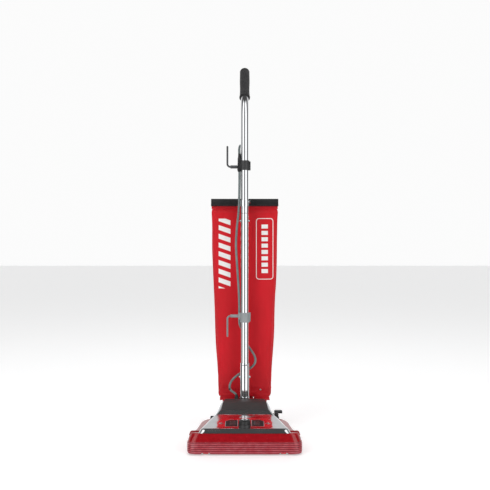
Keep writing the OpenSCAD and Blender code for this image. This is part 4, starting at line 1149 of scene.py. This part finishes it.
def make_bristles():
    """Tufts of fine bristles that splay a little from their holes in the roll."""
    low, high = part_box("brush_roll")
    axis_y, axis_z = (low.y + high.y) / 2, (low.z + high.z) / 2
    roll_r, tip_r = 0.017, 0.0247
    verts, faces = [], []
    golden = math.pi * (3 - math.sqrt(5))
    for side in (-1, 1):
        for row in (0, 1):
            for i in range(9):
                x = side * (48 * (i // 3 + 0.5) + 15 * (i % 3 - 1)) / 1000
                turn = math.radians(side * i * 16 + row * 180)
                out = Vector((0, -math.sin(turn), math.cos(turn)))
                along, across = Vector((1, 0, 0)), out.cross(Vector((1, 0, 0)))
                for k in range(BRISTLES_PER_TUFT):
                    spread = math.sqrt((k + 0.5) / BRISTLES_PER_TUFT)
                    lean = along * math.cos(golden * k) + across * math.sin(golden * k)
                    foot = Vector((x, axis_y, axis_z)) + out * (roll_r - 0.001)
                    foot = foot + lean * spread * 0.0017
                    tip = Vector((x, axis_y, axis_z)) + out * (tip_r - 0.0012 * spread ** 2)
                    tip += lean * spread * 0.0034
                    start = len(verts)
                    verts += circle(foot, along, across, 0.00022, 5)
                    verts += circle(tip, along, across, 0.00012, 5)
                    faces += [
                        tuple(start + j for j in face)
                        for face in ring_faces(2, 5) + caps_of(2, 5)
                    ]
    tufts = mesh_object("bristles", verts, faces, "brush", 60)
    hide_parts("brush_tufts")
    paint(tufts, "bristle")


# ---------------------------------------------------------------- handle

TUBE_R = 12.7
JOINT_Z = 722
BEND_Z = 1037
BEND_R = 100
BEND = math.radians(40)
GRIP_DIR = Vector((0, math.sin(BEND), math.cos(BEND)))
GRIP_FOOT = at(0, 224 + BEND_R * (1 - math.cos(BEND)), BEND_Z + BEND_R * math.sin(BEND))
GRIP_LENGTH = 145


def make_tubes():
    """Plated handle tubes, the upper one swaged into the lower one's rolled mouth."""
    up = Vector((0, 0, 1))
    lower = [(10.6, 0), (12.2, 0), (TUBE_R, 0.6), (TUBE_R, 60), (TUBE_R, 200), (TUBE_R, 400)]
    lower += [(TUBE_R, JOINT_Z - 143), (12.95, JOINT_Z - 142), (12.95, JOINT_Z - 140.8)]
    lower += [(12.5, JOINT_Z - 140), (11.4, JOINT_Z - 140)]
    lower = lathe("lower_tube", lower, at(0, 224, 140), up, 72, "handle", 30)
    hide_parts("handle_tube_lower")
    paint(lower, "handle_chrome")
    heights = [JOINT_Z + 0.3, JOINT_Z + 0.8, JOINT_Z + 1.4] + list(np.linspace(730, BEND_Z, 12))
    path = [at(0, 224, z) for z in heights]
    radii = [0.0114, 0.0122, 0.0127] + [0.0127] * 12
    for a in np.linspace(0, BEND, 28)[1:]:
        path.append(at(0, 224 + BEND_R * (1 - math.cos(a)), BEND_Z + BEND_R * math.sin(a)))
        radii.append(0.0127)
    path.append(GRIP_FOOT + GRIP_DIR * 0.12)
    radii.append(0.0127)
    upper = tube("upper_tube", path, radii, 72, "handle", 30)
    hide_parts("handle_tube_upper")
    paint(upper, "handle_chrome")


def make_socket():
    """Socket with a rolled rim, a pressed dimple and the seam of its clamp."""
    low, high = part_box("handle_socket")
    height = (high.z - low.z) * 1000
    foot = Vector(((low.x + high.x) / 2, (low.y + high.y) / 2, low.z))
    profile = [(12.9, 0), (15.0, 0), (15.2, 0.4), (15.2, height - 9), (15.0, height - 8.4)]
    profile += [(15.0, height - 7.8), (15.3, height - 7), (15.5, height - 3), (15.4, height - 1)]
    profile += [(14.8, height), (12.9, height)]
    socket = lathe("socket", profile, foot, Vector((0, 0, 1)), 72, "handle", 30)
    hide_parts("handle_socket")
    paint(socket, "handle_chrome")
    rivet = [(3.4, -0.4), (3.4, 0.3), (2.6, 1.0), (1.0, 1.4)]
    rivets = [
        lathe("rivet", rivet, at(8, 224 - 13.2, 233), Vector((0.52, -0.85, 0)), 24)
    ]
    paint(joined("socket_rivet", rivets, "handle"), "steel")


def cross_heads(name, z, tube_r, head_r, node):
    """Domed nut and bolt head on the two sides of a tube, on washers."""
    heads = []
    for side in (-1, 1):
        axis = Vector((side, 0, 0))
        washer = [(head_r + 0.6, -0.8), (head_r + 0.6, 0.4), (head_r + 0.2, 0.7), (head_r, 0.7)]
        dome = [
            (head_r * math.cos(a), 0.7 + 3.4 * math.sin(a)) for a in np.radians(range(0, 86, 12))
        ]
        heads.append(lathe("head", washer + dome, at(side * tube_r, 224, z), axis, 32))
    heads = joined(name, heads, "handle")
    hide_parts(node)
    paint(heads, "handle_chrome")


def make_grip():
    """Moulded grip: flared mouth, swelling barrel with finger grooves and a domed end."""
    profile = [(13, 0), (16.6, 0), (17.5, 0.8), (17.6, 3), (17.0, 6.5), (16.4, 9)]
    for h in np.linspace(11, 126, 116):
        body = float(smooth_table([(9, 16.3), (40, 15.6), (85, 16.4), (126, 16.1)], h)[0])
        groove = 0.35 * max(0.0, math.sin(TAU * h / 5)) ** 3 if 18 < h < 118 else 0
        profile.append((body - groove, h))
    for a in np.radians(np.arange(0, 91, 7.5)):
        profile.append((16.2 - 10 + 10 * math.cos(a), GRIP_LENGTH - 10 + 10 * math.sin(a)))
    grip = lathe("hand_grip", profile, GRIP_FOOT, GRIP_DIR, 64, "handle", 45)
    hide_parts("handle_grip")
    paint(grip, "grip_rubber")


def make_clip_boot():
    """Tapered boot on the top clip where the supply cord leaves it."""
    boot = lathe(
        "clip_boot", boot_profile(54, 7.4, 4.4), at(-17, 225, 862), Vector((0, 0, 1)), 40, "handle"
    )
    paint(boot, "grip_rubber")
    return boot


def make_lead_rings():
    """Dark wear ring on the lead's left loop."""
    foot = at(-48.6, 242, 150)
    ring = [(3.9, -3), (4.5, -2.6), (4.5, 2.6), (3.9, 3)]
    ring = lathe("lead_ring", ring, foot, at(-49, 242, 156) - at(-44, 241, 145), 24)
    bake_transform(ring)
    paint(ring, "grip_rubber")


# ---------------------------------------------------------------- bag

# Height, half-width, front setback, rear setback
BAG_TABLE = [
    (116, 83, 273, 307), (122, 86, 270.5, 314), (250, 92, 269.5, 325), (430, 100, 269, 331),
    (600, 106, 269, 329), (690, 108, 269.5, 317), (730, 108.7, 271, 297), (742, 109, 273.4, 281),
]
BAG_AROUND = 112
BAG_ROWS = 128
BAG_TOP = 742
BAG_FOOT = 116


def bag_ring(z):
    w, front, rear = smooth_table(BAG_TABLE, z)
    half_deep, middle = (rear - front) / 2, (rear + front) / 2
    ring = []
    for k in range(BAG_AROUND):
        a = TAU * k / BAG_AROUND
        c, s = math.cos(a), math.sin(a)
        power = 0.28 + 0.1 * eased((z - 650) / 90)
        x = w * math.copysign(abs(c) ** power, c)
        ring.append(at(x, middle + half_deep * math.copysign(abs(s) ** 0.62, s), z))
    return ring


def slack(p):
    """How far the cloth is drawn in at a point: a channel by the tube, folds and a foot tuck."""
    x, z = p.x * 1000, p.z * 1000
    front = eased((295 - setback_of(p.y)) / 20)
    channel = math.exp(-((x + 2) / 20) ** 4) * 5.0
    crease = math.exp(-((x - 21) / 4.0) ** 2) * 2.4 * eased((z - 130) / 60)
    gather = math.exp(-((z - 738) / 20) ** 2) * 1.2 * math.sin(x / 3.1)
    tucks = eased((215 - z) / 90) * (
        1.6 * math.sin(z / 6.5 + x / 40) * math.exp(-((abs(x) - 60) / 35) ** 2)
    )
    return front * (channel + crease) + gather + tucks


def simulate_bag(bag):
    """Lets the filled bag swell and hang between its top seam and its foot, within a few mm."""
    rest = np.array([v.co for v in bag.data.vertices])
    pins = bag.vertex_groups.new(name="pins")
    for v in bag.data.vertices:
        z = v.co.z * 1000
        hold = max(eased((z - 722) / 16), eased((132 - z) / 12))
        pins.add([v.index], hold, "REPLACE")
    cloth = bag.modifiers.new("cloth", "CLOTH")
    settings = cloth.settings
    settings.quality = 6
    settings.mass = 0.25
    settings.tension_stiffness = 25
    settings.compression_stiffness = 12
    settings.shear_stiffness = 8
    settings.bending_stiffness = 1.2
    settings.air_damping = 4
    settings.use_pressure = True
    settings.uniform_pressure_force = 1.6
    settings.vertex_group_mass = "pins"
    settings.effector_weights.gravity = 0.6
    cloth.collision_settings.use_collision = False
    cloth.collision_settings.use_self_collision = False
    for step in range(1, 19):
        SCENE.frame_set(step)
    with_modifiers(bag)
    SCENE.frame_set(1)
    moved = np.array([v.co for v in bag.data.vertices])
    shift = moved - rest
    far = np.linalg.norm(shift, axis=1)
    cap = 0.0028
    kept = cap * np.tanh(far / cap) / np.maximum(far, 1e-9)
    final = rest + shift * kept[:, None]
    bag.data.vertices.foreach_set("co", final.astype(np.float32).ravel())
    bag.data.update()


def make_bag():
    """Cloth bag: swollen shell with a channel for the handle."""
    heights = np.linspace(BAG_FOOT, BAG_TOP, BAG_ROWS)
    rings = [bag_ring(z) for z in heights]
    verts = [p for ring in rings for p in ring]
    faces = ring_faces(BAG_ROWS, BAG_AROUND) + caps_of(BAG_ROWS, BAG_AROUND)
    bag = mesh_object("bag_cloth_shell", verts, faces)
    simulate_bag(bag)
    normals = [v.normal.copy() for v in bag.data.vertices]
    for v, normal in zip(bag.data.vertices, normals):
        flat = Vector((normal.x, normal.y, 0))
        soft = noise.noise(Vector((v.co.x * 28, v.co.y * 28, v.co.z * 9))) * 1.4
        soft *= eased((725 - v.co.z * 1000) / 60) * eased((v.co.z * 1000 - 120) / 60)
        v.co -= flat * (max(0.0, slack(v.co)) + soft) / 1000
    subdivision = bag.modifiers.new("smooth", "SUBSURF")
    subdivision.levels = 1
    subdivision.render_levels = 1
    with_modifiers(bag)
    bag.data.shade_smooth()
    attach(bag, "handle")
    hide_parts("bag")
    paint(bag, "bag_cloth")
    return bag


def on_bag(tree, x, z, side):
    """Point of the bag's front (side -1) or back (side 1) at x, z, and its normal."""
    start = Vector((x / 1000, at(0, 300 + side * 60, 0).y, z / 1000))
    hit, normal, _, _ = tree.ray_cast(start, Vector((0, -side, 0)))
    return hit, normal


def make_bag_trim(bag):
    """Piping on both side seams, stitches along the top hem and near the sides of the front, and a
    rivet.
    """
    depsgraph = bpy.context.evaluated_depsgraph_get()
    tree = BVHTree.FromObject(bag, depsgraph)
    pipes, stitches = [], []
    for side in (-1, 1):
        points = []
        for z in np.linspace(BAG_FOOT + 4, BAG_TOP - 4, 70):
            w, front, rear = smooth_table(BAG_TABLE, z)
            start = at(side * 160, front + (rear - front) * 0.3, z)
            hit = tree.ray_cast(start, Vector((-side, 0, 0)))[0]
            if hit:
                points.append(hit + Vector((side * 0.0004, 0, 0)))
        pipes.append(tube("piping", points, 0.0013, 10))
    pipes = joined("side_piping", pipes, "handle")
    paint(pipes, "sleeve_cloth")
    for z in (732, 728.5):
        for side in (-1, 1):
            for x in np.arange(-102, 102, 4.2):
                a, normal = on_bag(tree, x, z, side)
                b, _ = on_bag(tree, x + 2.6, z, side)
                if a and b:
                    lift = Vector((0, side * 0.0002, 0))
                    points = [a - lift, a + lift, (a + b) / 2 + lift * 2, b + lift, b - lift]
                    stitches.append(tube("stitch", points, 0.0003, 6))
    for x in (-96.5, 96.5):
        for z in np.arange(135, 700, 5.2):
            w = float(smooth_table(BAG_TABLE, z)[0])
            place = math.copysign(w - 8, x)
            a, _ = on_bag(tree, place, z, -1)
            b, _ = on_bag(tree, place, z + 3, -1)
            if a and b:
                lift = Vector((0, -0.0002, 0))
                stitches.append(tube("stitch", [a - lift, a + lift, b + lift, b - lift], 0.0003, 6))
    paint(joined("bag_stitches", stitches, "handle"), "thread")
    place, normal = on_bag(tree, 52, 142, -1)
    rivet = [(3.2, -0.3), (3.2, 0.3), (2.5, 0.9), (1.4, 1.1), (0.5, 0.8)]
    rivet = lathe("bag_rivet", rivet, place, normal, 28, "handle")
    paint(rivet, "steel")


def make_foot_hem():
    """Hem flaps that hang from the front of the bag's foot on either side of the sleeve."""
    flaps = []
    for side in (-1, 1):
        verts = []
        for s, grow in ((271.1, -0.5), (271.4, 0), (272.5, 0), (272.8, -0.5)):
            outline = [
                (30 - grow, 120), (30 - grow, 111.5 - grow), (56, 109 - grow),
                (78 + grow, 107.4 - grow), (82.5 + grow, 106.8), (81.5 + grow, 120),
            ]
            verts += [at(side * x, s, z) for x, z in outline]
        flaps.append(mesh_object("flap", verts, ring_faces(4, 6) + caps_of(4, 6), None, 40))
    flaps = joined("foot_hem", flaps, "handle")
    paint(flaps, "sleeve_cloth")


def make_bag_top():
    """Hem tape that rises from the bag into the closure, with its bead."""
    half = 109.5
    profile = [(-1.4, 739), (-1.5, 755), (-3.3, 756.2), (-3.6, 759), (-3.0, 761.6), (0, 762.2)]
    profile = profile + [(-s, z) for s, z in profile[-2::-1]]
    verts = []
    xs = [-half, -half + 0.6] + list(np.linspace(-half + 2, half - 2, 60)) + [half - 0.6, half]
    for i, x in enumerate(xs):
        shrink = 0.8 if i in (0, len(xs) - 1) else 1.0
        verts += [at(x, 275 + s * shrink, z) for s, z in profile]
    n = len(profile)
    faces = ring_faces(len(xs), n) + caps_of(len(xs), n)
    top = mesh_object("bag_hem_tape", verts, faces, "handle", 50)
    paint(top, "sleeve_cloth")


def make_sleeve():
    """Gathered cloth sleeve from the exhaust neck to the bag's foot, with an elastic band."""
    sides, rows = 96, 34
    verts = []
    for i in range(rows):
        t = i / (rows - 1)
        z = 55 + (115.5 - 55) * t
        half_x = 24.5 + 3.5 * eased(t) + 2.5 * math.sin(math.pi * t)
        front = 292.4
        rear = 298 + (304 - 298) * t + 3.0 * math.sin(math.pi * t)
        half_y, middle = (rear - front) / 2, (rear + front) / 2
        for k in range(sides):
            a = TAU * k / sides
            c, s = math.cos(a), math.sin(a)
            gather = 0.55 * math.sin(13 * a + 2.2 * math.sin(3 * t)) * math.sin(math.pi * t)
            gather += 0.5 * math.sin(26 * math.pi * t) * math.sin(math.pi * t) * (s > -0.3)
            x = (half_x + gather) * math.copysign(abs(c) ** 0.45, c)
            y = middle + (half_y + gather * (s > 0)) * math.copysign(abs(s) ** 0.6, s)
            verts.append(at(x, y, z))
    sleeve = mesh_object("exhaust_sleeve", verts, ring_faces(rows, sides) + caps_of(rows, sides))
    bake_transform(sleeve)
    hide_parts("bag_cuff")
    paint(sleeve, "sleeve_cloth")


# ---------------------------------------------------------------- stage and light


FLOOR_HALF = 20
BOX_GLOW = 1.35
BEHIND_GLOW = 0.6
WALL_GLOW = 0.3
GROUND_GLOW = 0.07
BACKDROP = 0.97

# Each lamp's place, aim, size and power
LAMPS = {
    "key": ((-1.6, FRONT - 1.8, 2.6), (0, 0, 0.5), (1.6, 1.6), 22),
    "fill": ((2.2, FRONT - 1.4, 1.8), (0, 0, 0.4), (1.8, 1.8), 9),
    "top": ((0, 0.3, 3.2), (0, 0, 0), (2.4, 2.4), 30),
}


def make_stage():
    """A pale, faintly glowing floor that does not show in the plating. A pale floor, a
    sky painted as studio soft boxes, and two large lamps.
    """
    r = FLOOR_HALF
    floor = mesh_object("floor", [(-r, -r, 0), (r, -r, 0), (r, r, 0), (-r, r, 0)], [(0, 1, 2, 3)])
    f = Finish("floor_paint")
    f.set(
        Base_Color=f.mix(f.noise(0.3, 3), (0.84, 0.84, 0.845), (0.88, 0.88, 0.885)),
        Roughness=0.55,
    )
    f.set(Emission_Color=(1.0, 1.0, 1.0), Emission_Strength=0.34)
    floor.data.materials.append(f.material)
    floor.visible_glossy = False


def lamp(name, place, aim, size, power):
    """A rectangular lamp that lights the machine without showing in its plating."""
    data = bpy.data.lights.new(name, "AREA")
    data.shape = "RECTANGLE"
    data.size, data.size_y = size
    data.energy = power
    obj = bpy.data.objects.new(name, data)
    SCENE.collection.objects.link(obj)
    obj.location = place
    obj.rotation_euler = (Vector(aim) - Vector(place)).to_track_quat("-Z", "Y").to_euler()
    obj.visible_glossy = False


class Studio(Finish):
    """The same steps in the world's own node tree, which has no surface shader."""

    def __init__(self, tree):
        self.tree = tree


def make_light():
    """Soft boxes left and right of the camera, a dark gap between them and a pale surround."""
    world = bpy.data.worlds.new("studio")
    SCENE.world = world
    world.use_nodes = True
    tree = world.node_tree
    f = Studio(tree)
    place = f.node("ShaderNodeTexCoord").outputs["Generated"]
    split = f.node("ShaderNodeSeparateXYZ")
    f.put(split.inputs[0], place)
    x, y, z = split.outputs
    side = f.math("ABSOLUTE", f.math("ARCTAN2", x, f.math("MULTIPLY", y, -1.0)))
    rise = f.math("ARCSINE", z)
    deg = math.pi / 180
    box_in = f.ramp(side, 14 * deg, 18 * deg)
    box_out = f.ramp(side, 62 * deg, 70 * deg, 1, 0)
    box_top = f.ramp(rise, 50 * deg, 62 * deg, 1, 0)
    box_low = f.ramp(rise, -30 * deg, -22 * deg)
    box = f.math("MULTIPLY", f.math("MULTIPLY", box_in, box_out), box_top)
    box = f.math("MULTIPLY", box, box_low)
    behind = f.ramp(side, 95 * deg, 125 * deg)
    far_wall = f.ramp(f.math("ABSOLUTE", rise), 30 * deg, 8 * deg, 0, 1)
    low_behind = f.math("MULTIPLY", behind, f.ramp(rise, 70 * deg, 40 * deg, 0, 1))
    ground = f.math("ADD", f.math("MULTIPLY", low_behind, BEHIND_GLOW), GROUND_GLOW)
    ground = f.math("ADD", ground, f.math("MULTIPLY", f.math("MULTIPLY", behind, far_wall), WALL_GLOW))
    lit = f.math("ADD", ground, f.math("MULTIPLY", box, BOX_GLOW))
    seen = f.node("ShaderNodeLightPath").outputs["Is Camera Ray"]
    unseen = f.math("MULTIPLY", lit, f.math("SUBTRACT", 1.0, seen))
    shown = f.math("ADD", unseen, f.math("MULTIPLY", seen, BACKDROP))
    background = tree.nodes["Background"]
    f.put(background.inputs["Strength"], shown)
    background.inputs["Color"].default_value = (1, 1, 1, 1)
    for name, facts in LAMPS.items():
        lamp(name, *facts)


# ---------------------------------------------------------------- the whole machine

plug_parts = make_plug()
strap = make_tie()
paint(plug_parts[0], "grip_rubber")
paint(plug_parts[1], "handle_chrome")
paint(strap, "grip_rubber")
paint(make_lead(), "cord_grey")
clip_boot = make_clip_boot()
supply = make_supply()
paint(supply, "cord_grey")

make_base()
make_bumper_tabs()
make_hood()
make_badge()
make_painted_reflection_panel()
make_knob_ring()
make_gland_boot()
make_deck_screws()
make_pedal_spring()
make_bristles()
make_tubes()
make_socket()
cross_heads("socket_bolt_heads", 193, 15.2, 4.6, "socket_bolt")
cross_heads("tube_bolt_heads", 698, 12.7, 3.8, "tube_bolt")
make_grip()
make_lead_rings()
bag_shell = make_bag()
make_bag_trim(bag_shell)
make_foot_hem()
make_bag_top()
make_sleeve()
make_stage()
make_light()
